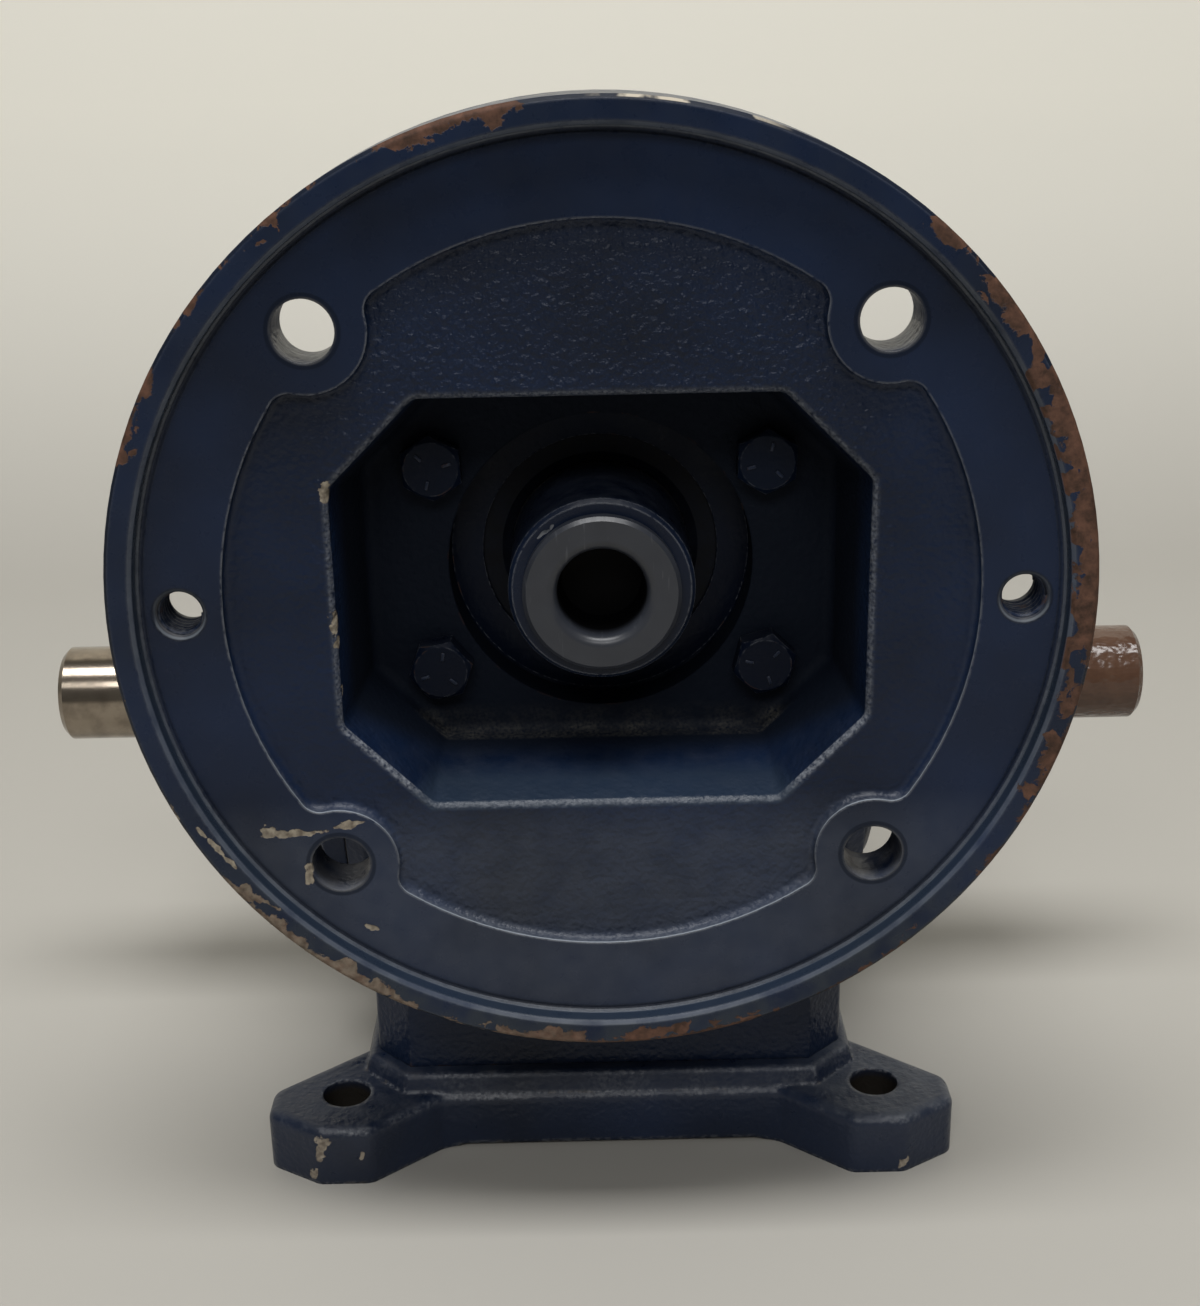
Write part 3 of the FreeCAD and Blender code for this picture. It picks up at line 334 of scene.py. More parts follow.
def baseEnamel(opts):
    material, tree, coords = newMaterial("navy enamel on the cast base")
    x, along, z = put(tree, "SeparateXYZ", {"Vector": coords}).node.outputs
    spread = put(tree, "CombineXYZ", {"X": x, "Y": along})
    folded = put(tree, "VectorMath", {0: spread}, operation="ABSOLUTE")
    hole = (opts["holeX"] * mm, opts["holeY"] * mm, 0)
    fromHole = put(tree, "VectorMath", {0: folded, 1: hole}, out="Value", operation="DISTANCE")
    measures = {"x": x, "z": z, "fromHole": fromHole}
    dirty = banded(tree, opts["dirtShare"], measures, opts["dirtyBand"])
    smear = put(tree, "TexNoise", {"Vector": coords, "Scale": 1 / (opts["smearMm"] * mm), "Detail": 4.0})
    grit = put(tree, "TexNoise", {"Vector": coords, "Scale": 1 / (opts["gritMm"] * mm), "Detail": 2.0})
    upward = put(tree, "SeparateXYZ", {"Vector": put(tree, "NewGeometry", out="Normal")}, out="Z")
    top = put(tree, "MapRange", {"Value": upward, "From Min": 0.3, "From Max": 0.9,
                                 "To Max": opts["topDustAndSheen"]})
    # chamfers rub pale in specks, which also stand as painted highlight where they face the light
    sloped = put(tree, "MapRange", {"Value": upward, "From Min": 0.2, "From Max": 0.45,
                                    "To Max": opts["rubbed"]})
    sloped = put(tree, "MapRange", {"Value": upward, "From Min": 0.93, "From Max": 0.8, "To Max": sloped})
    sloped = put(tree, "MapRange", {"Value": smear, "From Min": 0.45, "From Max": 0.7, "To Max": sloped})
    specked = put(tree, "MapRange", {"Value": grit, "From Min": 0.40, "From Max": 0.66, "To Max": sloped})
    # dust on the tops, kept to the right foot, where it also stands as painted sheen
    dustAndSheen = put(tree, "MapRange", {"Value": smear, "From Min": 0.25, "From Max": 0.6, "To Max": top})
    dustAndSheen = banded(tree, dustAndSheen, measures, opts["dustAndSheenBand"])
    struck = knocks(tree, coords, opts["knocks"], opts["frontY"])
    own = {**enamel, **opts["paint"]}
    layers = [(dustAndSheen, opts["dust"]), (specked, own["chalk"]), (dirty, opts["dirt"])]
    oldPrimer = primer(tree, coords, opts["primerDark"], opts["primerPale"])
    look = enamelLook(tree, coords, own, opts["cast"], layers, struck, oldPrimer, opts["chips"])
    finishMaterial(tree, look)
    return material


# motor flange: machined ring and rim stay smooth, the recess and the bell keep the mould's grain
flangeWear = {
    "brown": "38281F", "paleBrown": "66483A", "primerDark": "655C51", "primerPale": "9C9383",
    "iron": "5B5B5C", "rimFilm": "32383D", "wall": "28313C", "line": "747A82", "grit": "7B7F86",
    "brinkHighlight": "868D95", "haze": "5A5F68", "shadeAndSootTint": "0B121E", "mud": "444340", "lit": "26313F",
    "steel": "B8AF9E",
    "gritMm": 0.8, "smearMm": 7, "rustMm": 2.6, "shadeAndSootShine": 0.12, "shadeAndSootRough": 0.7,
    # how strong each kind of wear, painted light and painted shade is, one number or the least and the most
    "litShare": 0.7, "ledgeShare": 0.4, "wallShare": 0.65, "cornerShare": 0.7, "roundShare": 0.6,
    "lipShare": 0.9, "leastLip": 0.26, "tanShare": 0.45, "coatShare": 0.6, "filmShare": (0.1, 0.6),
    "lineShare": (0.08, 0.34), "mouthShare": (0.46, 0.85), "brinkHighlightShare": (0.5, 1.0),
    "hazeShare": (0.12, 0.25), "paint": {"rubFrom": 0.30, "dustShare": 0.05},
    # where three of them set in, from the first number to the second: Z, Y, and X plus Z
    "filmZ": (-45, -95), "ledgeY": (-124.2, -126.4), "tanXZ": (-110, -145),
    # X, Z and radius of the bolt and jack screw holes from the worm's axis, and how far in and out of that
    # radius their walls and their dull edges go
    "holes": [(65.1, 65.1, 7.6), (98.4, 0, 5.7)], "boreIn": 0.25, "boreSoft": 0.4, "roundIn": 0.2,
    "roundOut": 0.8, "roundSoft": 0.3,
    # the grain gets softer along these measures, from 1 down to the last number
    "softGrain": [("along", -122, -114, 0.4), ("z", 10, -50, 0.5), ("wide", 48, 78, 0.45)],
    # painted shade starts deeper on the low walls, which light reaches: over these heights, from this Y to
    # that Y
    "shadeZ": (-48, -30), "shadeY": (-106, -121), "shadeSoft": 12,
    # where each kind of wear, painted light and painted shade lies: low, high and soft end in mm, along Y or
    # from the worm's axis
    "bands": {
        "cast": {"along": (-124.9, 0, 1.3), "radius": (0, 112.8, 0.8)},
        "pocket": {"wide": (-1, 64, 0.4), "high": (-1, 52.4, 0.4), "corner": (-1, 95, 0.4)},
        "rimCorner": {"radius": (113.55, 116, 0.1), "along": (-132, -131.0, 0.1)},
        "litWall": {"along": (-123, -113, 9), "z": (-60, -49, 3)},
        "mud": {"along": (-95.5, -92.4, 1.0), "z": (-60, -41, 4)},
        "film": {"radius": (108.8, 120, 0.3), "along": (-133, -131.2, 0.3)},
        "bevelLine": {"radius": (108.1, 108.9, 0.15), "along": (-131.6, -130.9, 0.15)},
        "cornerLine": {"radius": (107.2, 107.94, 0.1), "along": (-127.3, -126.6, 0.1)},
        "ledge": {"radius": (-1, 103, 1)},
        "mouth": {"along": (-123.5, -122.5, 0.25), "radius": (-1, 90, 1)},
        "brinkHighlight": {"along": (-126.68, -126.25, 0.06), "radius": (-1, 104, 0.5)},
        "haze": {"z": (-120, -62, 14), "along": (-127, -123.4, 0.2)},
        "wall": {"radius": (107.85, 108.05, 0.06), "along": (-130.8, -126.9, 0.1)},
        "bright": {"radius": (113.75, 120, 0.1), "along": (-132, -130.9, 0.1), "x": (6, 34, 8),
                   "z": (90, 120, 2)},
        "flakes": {"along": (-133, -130.8, 1.2), "radius": (108.2, 120, 0.3)},
        "recessLip": {"along": (-126.8, -126.0, 0.2)},
        "pocketLip": {"along": (-124.0, -122.0, 0.2)},
        "lips": {"radius": (-1, 104, 0.5)},
    },
    # knocks through the paint, and the Y of the face that they are on
    "knockFaces": [
        (-126.75, [(-75.7, 118.0, 7.6, 0.9, 3), (-82.0, 118.8, 1.8, 1.5, 0), (-73.1, 106.9, 3.3, 1.1, 82),
                   (-62.2, 120.2, 3.4, 0.9, 12), (-59.0, 92.1, 1.9, 0.6, -20)]),  # ring
        (-123.2, [(-63.2, 202.4, 2.6, 1.2, 90), (-63.0, 170.6, 3.0, 1.3, 85), (-62.6, 165.4, 1.6, 1.1, 90),
                  (-61.8, 152.8, 2.4, 0.9, 95), (-56.5, 143.6, 1.4, 0.8, 130)]),  # mouth of the pocket
        (-131.75, [(-97.2, 121.2, 1.8, 0.6, -55), (-94.0, 117.0, 3.2, 0.7, -52),
                   (-90.8, 113.0, 2.4, 0.6, -50), (-103.2, 125.2, 1.3, 0.9, -60)]),  # rim
    ],
}

# flakes of paint lost from the rim: share that is gone by angle from +X, and the sizes of the flakes
rimWear = {
    "inner": 108.4, "outer": 113.6, "flakeMm": 4.6, "wanderMm": 3, "driftMm": 9, "crumbMm": 1.3,
    "driftShare": 0.5, "crumbShare": 0.3, "soft": 0.025, "outerGain": 0.12,
    "keptX": (60, 95), "kept": (-0.34, -0.1),
    "loss": [(-180, 0.10), (-152, 0.22), (-144, 0.50), (-134, 0.66), (-122, 0.60), (-113, 0.20), (-108, 0.46),
             (-98, 0.58), (-78, 0.56), (-66, 0.22), (-52, 0.40), (-44, 0.18), (-26, 0.34), (-14, 0.55),
             (0, 0.60), (24, 0.58), (33, 0.46), (48, 0.50), (56, 0.12), (96, 0.14), (101, 0.60), (113, 0.56),
             (117, 0.14), (128, 0.58), (134, 0.20), (142, 0.40), (146, 0.14), (151, 0.52), (158, 0.46),
             (163, 0.12), (180, 0.10)],
}


# share of bare iron on the rim: flakes that are lost more often where the angle says so
def rimFlakes(tree, coords, opts, angle, measures, bands):
    share = put(tree, "MapRange", {"Value": angle, "From Min": -math.pi, "From Max": math.pi})
    loss = put(tree, "ValToRGB", {"Fac": share})
    ramp = loss.node.color_ramp
    while len(ramp.elements) < len(opts["loss"]):
        ramp.elements.new(0.5)
    for element, (degrees, amount) in zip(ramp.elements, opts["loss"]):
        element.position = (degrees + 180) / 360
        element.color = (amount, amount, amount, 1)
    reach = opts["wanderMm"] * mm
    wander = put(tree, "TexNoise", {"Vector": coords, "Scale": 1 / reach, "Detail": 3.0}, out="Color")
    pulled = put(tree, "VectorMath", {0: wander, 1: (reach, reach, reach), 2: coords},
                 operation="MULTIPLY_ADD")
    cell = put(tree, "TexVoronoi", {"Vector": pulled, "Scale": 1 / (opts["flakeMm"] * mm)}, out="Color")
    cell = put(tree, "SeparateColor", {"Color": cell})
    drift = put(tree, "TexNoise", {"Vector": coords, "Scale": 1 / (opts["driftMm"] * mm), "Detail": 2.0})
    crumb = put(tree, "TexNoise", {"Vector": coords, "Scale": 1 / (opts["crumbMm"] * mm), "Detail": 4.0,
                                   "Roughness": 0.7})
    chance = put(tree, "Mix", {"Factor": opts["driftShare"], "A": cell, "B": drift}, out="Result")
    chance = put(tree, "Mix", {"Factor": opts["crumbShare"], "A": chance, "B": crumb}, out="Result")
    # paint holds better on the inner edge, least so at the far right
    (begin, full), (most, least) = opts["keptX"], opts["kept"]
    kept = put(tree, "MapRange", {"Value": measures["x"], "From Min": begin * mm, "From Max": full * mm,
                                  "To Min": most, "To Max": least})
    outward = put(tree, "MapRange", {"Value": measures["radius"], "From Min": opts["inner"] * mm,
                                     "From Max": opts["outer"] * mm, "To Min": kept,
                                     "To Max": opts["outerGain"]})
    margin = put(tree, "Math", {0: loss, 1: outward}, operation="ADD")
    margin = put(tree, "Math", {0: margin, 1: chance}, operation="SUBTRACT")
    lost = put(tree, "MapRange", {"Value": margin, "From Min": 0.0, "From Max": opts["soft"]})
    return banded(tree, lost, measures, bands)


# the renderer has room for few more masks here: with many more it draws this material black
def flangeEnamel(opts):
    material, tree, coords = newMaterial("navy enamel on the faced flange")
    bands = opts["bands"]
    centred = put(tree, "VectorMath", {0: coords, 1: (0, 0, wormHeight)}, operation="SUBTRACT")
    x, along, z = put(tree, "SeparateXYZ", {"Vector": centred}).node.outputs
    spread = put(tree, "CombineXYZ", {"X": x, "Z": z})
    folded = put(tree, "VectorMath", {0: spread}, operation="ABSOLUTE")
    radius = put(tree, "VectorMath", {0: spread}, out="Value", operation="LENGTH")
    angle = put(tree, "Math", {0: z, 1: x}, operation="ARCTAN2")
    upward = put(tree, "SeparateXYZ", {"Vector": put(tree, "NewGeometry", out="Normal")}, out="Z")
    grit = put(tree, "TexNoise", {"Vector": coords, "Scale": 1 / (opts["gritMm"] * mm), "Detail": 2.0})
    smear = put(tree, "TexNoise", {"Vector": coords, "Scale": 1 / (opts["smearMm"] * mm), "Detail": 4.0})
    measures = {"x": x, "along": along, "z": z, "radius": radius}
    # mould grain in the recess, softer in the pocket
    cast = banded(tree, 1.0, measures, bands["cast"])
    measures["wide"], _, measures["high"] = put(tree, "SeparateXYZ", {"Vector": folded}).node.outputs
    for word, begin, end, least in opts["softGrain"]:
        softer = put(tree, "MapRange", {"Value": measures[word], "From Min": begin * mm, "From Max": end * mm,
                                        "To Min": 1.0, "To Max": least})
        cast = put(tree, "Math", {0: cast, 1: softer}, operation="MULTIPLY")
    # drilled walls, 1 inside any of the six holes, and the dull edges round them
    drilled, rounds = 0.0, 0.0
    for across, up, size in opts["holes"]:
        place = (across * mm, 0, up * mm)
        fromHole = put(tree, "VectorMath", {0: folded, 1: place}, out="Value", operation="DISTANCE")
        bore = within(tree, 1.0, fromHole, -1, size - opts["boreIn"], opts["boreSoft"])
        drilled = put(tree, "Math", {0: drilled, 1: bore}, operation="MAXIMUM")
        edge = within(tree, opts["roundShare"], fromHole, size - opts["roundIn"], size + opts["roundOut"],
                      opts["roundSoft"])
        rounds = put(tree, "Math", {0: rounds, 1: edge}, operation="MAXIMUM")
    solid = put(tree, "MapRange", {"Value": drilled, "To Min": 1.0, "To Max": 0.0})
    # inside of the octagonal pocket: painted shade deep down, painted light on the low wall near the mouth,
    # and mud at the bottom
    measures["corner"] = put(tree, "Math", {0: measures["wide"], 1: measures["high"]}, operation="ADD")
    inPocket = banded(tree, 1.0, measures, bands["pocket"])
    (lowZ, highZ), (lowY, highY) = opts["shadeZ"], opts["shadeY"]
    shade = put(tree, "MapRange", {"Value": z, "From Min": lowZ * mm, "From Max": highZ * mm,
                                   "To Min": lowY * mm, "To Max": highY * mm})
    depth = put(tree, "Math", {0: along, 1: shade}, operation="SUBTRACT")
    shadeAndSoot = put(tree, "MapRange", {"Value": depth, "From Min": 0.0, "From Max": opts["shadeSoft"] * mm,
                                   "To Max": inPocket}, interpolation_type="SMOOTHSTEP")
    # soot on the rim's outer corner and round the holes joins the painted shade in one dark mask
    rimCorner = banded(tree, opts["cornerShare"], measures, bands["rimCorner"])
    for mask in (rimCorner, rounds):
        shadeAndSoot = put(tree, "Math", {0: shadeAndSoot, 1: mask}, operation="MAXIMUM")
    # painted light: a lighter blue over the low wall near the mouth, where light reaches into the pocket
    litWall = banded(tree, inPocket, measures, bands["litWall"])
    litWall = put(tree, "Math", {0: litWall, 1: opts["litShare"]}, operation="MULTIPLY")
    muddy = put(tree, "MapRange", {"Value": smear, "From Min": 0.3, "From Max": 0.7, "To Max": inPocket})
    muddy = put(tree, "MapRange", {"Value": grit, "From Min": 0.3, "From Max": 0.7, "To Max": muddy})
    muddy = banded(tree, muddy, measures, bands["mud"])
    # thin film of dirt on the rim, and painted highlight lines on its two machined corners
    begin, full = opts["filmZ"]
    least, most = opts["filmShare"]
    low = put(tree, "MapRange", {"Value": z, "From Min": begin * mm, "From Max": full * mm, "To Min": least,
                                 "To Max": most})
    film = put(tree, "MapRange", {"Value": smear, "From Min": 0.3, "From Max": 0.6, "To Max": low})
    film = banded(tree, film, measures, bands["film"])
    least, most = opts["lineShare"]
    thin = put(tree, "MapRange", {"Value": smear, "From Min": 0.2, "From Max": 0.6, "To Min": least,
                                  "To Max": most})
    bevelLine = banded(tree, thin, measures, bands["bevelLine"])
    cornerLine = banded(tree, thin, measures, bands["cornerLine"])
    # ledges that face up in the recess and the rounded mouth of the pocket: pale with grit and with painted
    # highlight, more where they face up
    ledge = put(tree, "MapRange", {"Value": upward, "From Min": 0.15, "From Max": 0.5,
                                   "To Max": opts["ledgeShare"]})
    begin, full = opts["ledgeY"]
    ledge = put(tree, "MapRange", {"Value": along, "From Min": begin * mm, "From Max": full * mm,
                                   "To Max": ledge})
    ledge = banded(tree, ledge, measures, bands["ledge"])
    least, most = opts["mouthShare"]
    mouth = put(tree, "MapRange", {"Value": upward, "From Min": 0.0, "From Max": 0.5, "To Min": least,
                                   "To Max": most})
    mouth = banded(tree, mouth, measures, bands["mouth"])
    pale = put(tree, "Math", {0: ledge, 1: mouth}, operation="MAXIMUM")
    pale = put(tree, "MapRange", {"Value": grit, "From Min": 0.28, "From Max": 0.66, "To Max": pale})
    pale = put(tree, "Math", {0: pale, 1: solid}, operation="MULTIPLY")
    # painted highlight: a pale line along the front edge of the recess wall, where the rounded brink catches
    # light
    least, most = opts["brinkHighlightShare"]
    brinkHighlight = put(tree, "MapRange", {"Value": upward, "From Min": -0.2, "From Max": 0.5, "To Min": least,
                                   "To Max": most})
    brinkHighlight = banded(tree, brinkHighlight, measures, bands["brinkHighlight"])
    brinkHighlight = put(tree, "Math", {0: brinkHighlight, 1: solid}, operation="MULTIPLY")
    # dust haze over the lowest part of the face, dirt on the register wall
    least, most = opts["hazeShare"]
    haze = put(tree, "MapRange", {"Value": smear, "From Min": 0.2, "From Max": 0.6, "To Min": least,
                                  "To Max": most})
    haze = banded(tree, haze, measures, bands["haze"])
    wall = banded(tree, opts["wallShare"], measures, bands["wall"])
    # bare steel, with a painted glint, where the top of the rim was set down on something, and in the drilled
    # holes
    bright = put(tree, "MapRange", {"Value": smear, "From Min": 0.48, "From Max": 0.56})
    bright = banded(tree, bright, measures, bands["bright"])
    coated = put(tree, "MapRange", {"Value": smear, "From Min": 0.3, "From Max": 0.6,
                                    "To Max": opts["coatShare"]})
    coated = put(tree, "Math", {0: drilled, 1: coated}, operation="MULTIPLY")
    layers = [(haze, opts["haze"]), (film, opts["rimFilm"]), (wall, opts["wall"]), (bevelLine, opts["line"]),
              (cornerLine, opts["line"]), (pale, opts["grit"]), (brinkHighlight, opts["brinkHighlight"]), (shadeAndSoot, opts["shadeAndSootTint"]),
              (litWall, opts["lit"]), (muddy, opts["mud"]), (coated, opts["iron"]), (bright, opts["steel"])]
    # rust film on the rim, old primer in the knocks
    flakes = rimFlakes(tree, coords, rimWear, angle, measures, bands["flakes"])
    struck = 0.0
    for face, places in opts["knockFaces"]:
        struck = put(tree, "Math", {0: struck, 1: knocks(tree, coords, places, face)}, operation="MAXIMUM")
    bare = put(tree, "Math", {0: flakes, 1: struck}, operation="MAXIMUM")
    rust = put(tree, "TexNoise", {"Vector": coords, "Scale": 1 / (opts["rustMm"] * mm), "Detail": 5.0,
                                  "Roughness": 0.65})
    rust = put(tree, "MapRange", {"Value": rust, "From Min": 0.32, "From Max": 0.68})
    brown = put(tree, "Mix", {"Factor": rust, "A": linear(opts["brown"]), "B": linear(opts["paleBrown"])},
                out="Result", data_type="RGBA")
    oldPrimer = primer(tree, coords, opts["primerDark"], opts["primerPale"])
    # the lower left of the rim is lost down to tan primer
    slant = put(tree, "Math", {0: x, 1: z}, operation="ADD")
    begin, full = opts["tanXZ"]
    tanned = put(tree, "MapRange", {"Value": slant, "From Min": begin * mm, "From Max": full * mm,
                                    "To Max": opts["tanShare"]})
    tanned = put(tree, "Math", {0: struck, 1: tanned}, operation="MAXIMUM")
    bareColour = put(tree, "Mix", {"Factor": tanned, "A": brown, "B": oldPrimer}, out="Result",
                     data_type="RGBA")
    # the edges of the recess and the pocket chalk more than the others
    recessLip = banded(tree, opts["lipShare"], measures, bands["recessLip"])
    pocketLip = banded(tree, opts["lipShare"], measures, bands["pocketLip"])
    lips = put(tree, "Math", {0: recessLip, 1: pocketLip}, operation="MAXIMUM")
    lips = banded(tree, lips, measures, bands["lips"])
    lips = put(tree, "Math", {0: lips, 1: solid}, operation="MULTIPLY")
    lips = put(tree, "Math", {0: lips, 1: opts["leastLip"]}, operation="MAXIMUM")
    own = {**enamel, **opts["paint"], "scuffShare": lips}
    look = enamelLook(tree, coords, own, cast, layers, bare, bareColour, cast)
    # matt, with weak specular, where the dark mask lies: painted shade in the pocket, soot round the holes
    # and on the rim's outer corner
    finishShadeAndDirt(tree, look, shadeAndSoot, opts["shadeAndSootRough"], opts["shadeAndSootShine"])
    return material


dress(["motor_flange"], flangeEnamel(flangeWear))
dress(["gear_housing", "rear_cap"], roughEnamel)
dress(["base"], baseEnamel(baseWear))
dress(["output_cover_left", "output_cover_right"], smoothEnamel)
# the seal carrier and flange bolts sit deep in the pocket and the drain plug under the flange: their darker
# paint is painted shade
dress(["seal_carrier", "flange_bolts", "drain_plug"], shadedEnamel)
dress(["cover_bolts_left", "cover_bolts_right", "rear_cap_bolts", "level_plug"], boltEnamel)
print("castings painted")

# ground steel shaft: mirror bands along it at the left end, a glossy brown rust-preventing wax at the right
shaftFinish = {"steel": "998E80", "dark": "6C6258", "wax": "402A20", "waxPale": "5E4433", "waxFrom": 60,
               "waxTo": 90, "lineMm": (0.5, 100 / 3, 100 / 3), "stainMm": 8, "runMm": (3.2, 2.2, 2.2),
               "lineHigh": 0.004, "runHigh": 0.35, "rough": (0.14, 0.23)}


def groundSteel(opts):
    material, tree, coords = newMaterial("ground steel with rust-preventing wax")
    across = put(tree, "SeparateXYZ", {"Vector": coords}, out="X")
    # grinding lines run round the shaft, drawn coarse enough to show
    squeezed = put(tree, "Mapping", {"Vector": coords, "Scale": [1 / (size * mm) for size in opts["lineMm"]]})
    lines = put(tree, "TexNoise", {"Vector": squeezed, "Scale": 1.0, "Detail": 3.0})
    stain = put(tree, "TexNoise", {"Vector": coords, "Scale": 1 / (opts["stainMm"] * mm), "Detail": 4.0,
                                   "Roughness": 0.6})
    runs = put(tree, "Mapping", {"Vector": coords, "Scale": [1 / (size * mm) for size in opts["runMm"]]})
    runs = put(tree, "TexNoise", {"Vector": runs, "Scale": 1.0, "Detail": 1.0})
    waxed = put(tree, "MapRange", {"Value": across, "From Min": opts["waxFrom"] * mm,
                                   "From Max": opts["waxTo"] * mm})
    dull = put(tree, "MapRange", {"Value": stain, "From Min": 0.4, "From Max": 0.75})
    steel = put(tree, "Mix", {"Factor": dull, "A": linear(opts["steel"]), "B": linear(opts["dark"])},
                out="Result", data_type="RGBA")
    wax = put(tree, "Mix", {"Factor": stain, "A": linear(opts["wax"]), "B": linear(opts["waxPale"])},
              out="Result", data_type="RGBA")
    colour = put(tree, "Mix", {"Factor": waxed, "A": steel, "B": wax}, out="Result", data_type="RGBA")
    smooth, coarse = opts["rough"]
    rough = put(tree, "MapRange", {"Value": stain, "From Min": 0.3, "From Max": 0.7, "To Min": smooth,
                                   "To Max": coarse})
    metallic = put(tree, "MapRange", {"Value": waxed, "To Min": 1.0, "To Max": 0.0})
    height = put(tree, "Mix", {"Factor": waxed, "A": lines, "B": runs}, out="Result")
    depth = put(tree, "MapRange", {"Value": waxed, "To Min": opts["lineHigh"] * mm,
                                   "To Max": opts["runHigh"] * mm})
    normal = put(tree, "Bump", {"Height": height, "Strength": 1.0, "Distance": depth})
    finishMaterial(tree, {"Base Color": colour, "Roughness": rough, "Normal": normal, "Metallic": metallic})
    return material


dress(["output_shaft"], groundSteel(shaftFinish))

# the hollow worm shaft: painted over on the hub that stands in the pocket, cut steel behind the seal
quillFinish = {"paintEnds": -79.0, "paintSoft": 1, "hubFace": -114.6, "steel": "8C8A86", "dark": "5E5C58",
               "lineMm": 0.8, "steelRough": 0.3, "cast": 0.08, "primerDark": "4A4E54", "primerPale": "75777B",
               "paint": {"edgeMm": 0.6, "deep": "0B111C", "fresh": "111A2C", "shine": 0.2, "scuffShare": 0.75,
                         "rubFrom": 0.3},
               "knocks": [(-13.6, 189.0, 1.7, 0.5, 35), (-11.6, 190.6, 0.9, 0.4, 60)]}


def quillSteel(opts):
    material, tree, coords = newMaterial("alloy steel with a painted hub")
    along = put(tree, "SeparateXYZ", {"Vector": coords}, out="Y")
    begin, full = opts["paintEnds"] + opts["paintSoft"], opts["paintEnds"] - opts["paintSoft"]
    painted = put(tree, "MapRange", {"Value": along, "From Min": begin * mm, "From Max": full * mm})
    struck = knocks(tree, coords, opts["knocks"], opts["hubFace"])
    oldPrimer = primer(tree, coords, opts["primerDark"], opts["primerPale"])
    look = enamelLook(tree, coords, {**enamel, **opts["paint"]}, opts["cast"], (), struck, oldPrimer)
    lines = put(tree, "TexNoise", {"Vector": coords, "Scale": 1 / (opts["lineMm"] * mm), "Detail": 2.0})
    steel = put(tree, "Mix", {"Factor": lines, "A": linear(opts["dark"]), "B": linear(opts["steel"])},
                out="Result", data_type="RGBA")
    look["Base Color"] = put(tree, "Mix", {"Factor": painted, "A": steel, "B": look["Base Color"]},
                             out="Result", data_type="RGBA")
    look["Roughness"] = put(tree, "Mix", {"Factor": painted, "A": opts["steelRough"],
                                          "B": look["Roughness"]}, out="Result")
    look["Metallic"] = put(tree, "MapRange", {"Value": painted, "To Min": 1.0, "To Max": 0.0})
    finishMaterial(tree, look)
    return material


dress(["worm_shaft"], quillSteel(quillFinish))

# push-in plug: grey polyethylene, moulded, waxy, scuffed on its lip
plugFinish = {"grey": "25282F", "pale": "31343B", "scuff": "66686D", "shadeAndSootTint": "020203", "cupRadius": 10.6,
              "cupEdge": 0.5, "cupFrom": -116.4, "cupSoft": 2.5, "cloudMm": 6, "cloudHigh": 0.05,
              "scratchMm": (2 / 3, 10 / 3, 20 / 3), "scratchTurn": 0.5, "scuffShare": 0.3,
              "rough": (0.26, 0.42), "shine": 0.5, "cupShadeRough": 0.6, "cupShadeShine": 0.08}


def mouldedGrey(opts):
    material, tree, coords = newMaterial("moulded grey polyethylene")
    cloud = put(tree, "TexNoise", {"Vector": coords, "Scale": 1 / (opts["cloudMm"] * mm), "Detail": 3.0})
    # long thin scratches
    scratch = put(tree, "Mapping", {"Vector": coords, "Rotation": (0, opts["scratchTurn"], 0),
                                    "Scale": [1 / (size * mm) for size in opts["scratchMm"]]})
    scratch = put(tree, "TexNoise", {"Vector": scratch, "Scale": 1.0, "Detail": 2.0})
    marks = put(tree, "MapRange", {"Value": scratch, "From Min": 0.66, "From Max": 0.74,
                                   "To Max": opts["scuffShare"]})
    colour = put(tree, "Mix", {"Factor": cloud, "A": linear(opts["grey"]), "B": linear(opts["pale"])},
                 out="Result", data_type="RGBA")
    colour = put(tree, "Mix", {"Factor": marks, "A": colour, "B": linear(opts["scuff"])},
                 out="Result", data_type="RGBA")
    # painted shade: the deep cup is drawn black and matt
    centred = put(tree, "VectorMath", {0: coords, 1: (0, 0, wormHeight)}, operation="SUBTRACT")
    x, along, z = put(tree, "SeparateXYZ", {"Vector": centred}).node.outputs
    spread = put(tree, "CombineXYZ", {"X": x, "Z": z})
    radius = put(tree, "VectorMath", {0: spread}, out="Value", operation="LENGTH")
    inside = put(tree, "MapRange", {"Value": radius, "From Min": (opts["cupRadius"] + opts["cupEdge"]) * mm,
                                    "From Max": opts["cupRadius"] * mm})
    deep = put(tree, "MapRange", {"Value": along, "From Min": opts["cupFrom"] * mm,
                                  "From Max": (opts["cupFrom"] + opts["cupSoft"]) * mm})
    cupShade = put(tree, "Math", {0: inside, 1: deep}, operation="MULTIPLY")
    colour = put(tree, "Mix", {"Factor": cupShade, "A": colour, "B": linear(opts["shadeAndSootTint"])},
                 out="Result", data_type="RGBA")
    smooth, coarse = opts["rough"]
    rough = put(tree, "MapRange", {"Value": scratch, "To Min": smooth, "To Max": coarse})
    normal = put(tree, "Bump", {"Height": cloud, "Strength": 1.0, "Distance": opts["cloudHigh"] * mm})
    look = {"Base Color": colour, "Roughness": rough, "Normal": normal, "Specular IOR Level": opts["shine"]}
    finishShadeAndDirt(tree, look, cupShade, opts["cupShadeRough"], opts["cupShadeShine"])
    return material


dress(["bore_plug"], mouldedGrey(plugFinish))

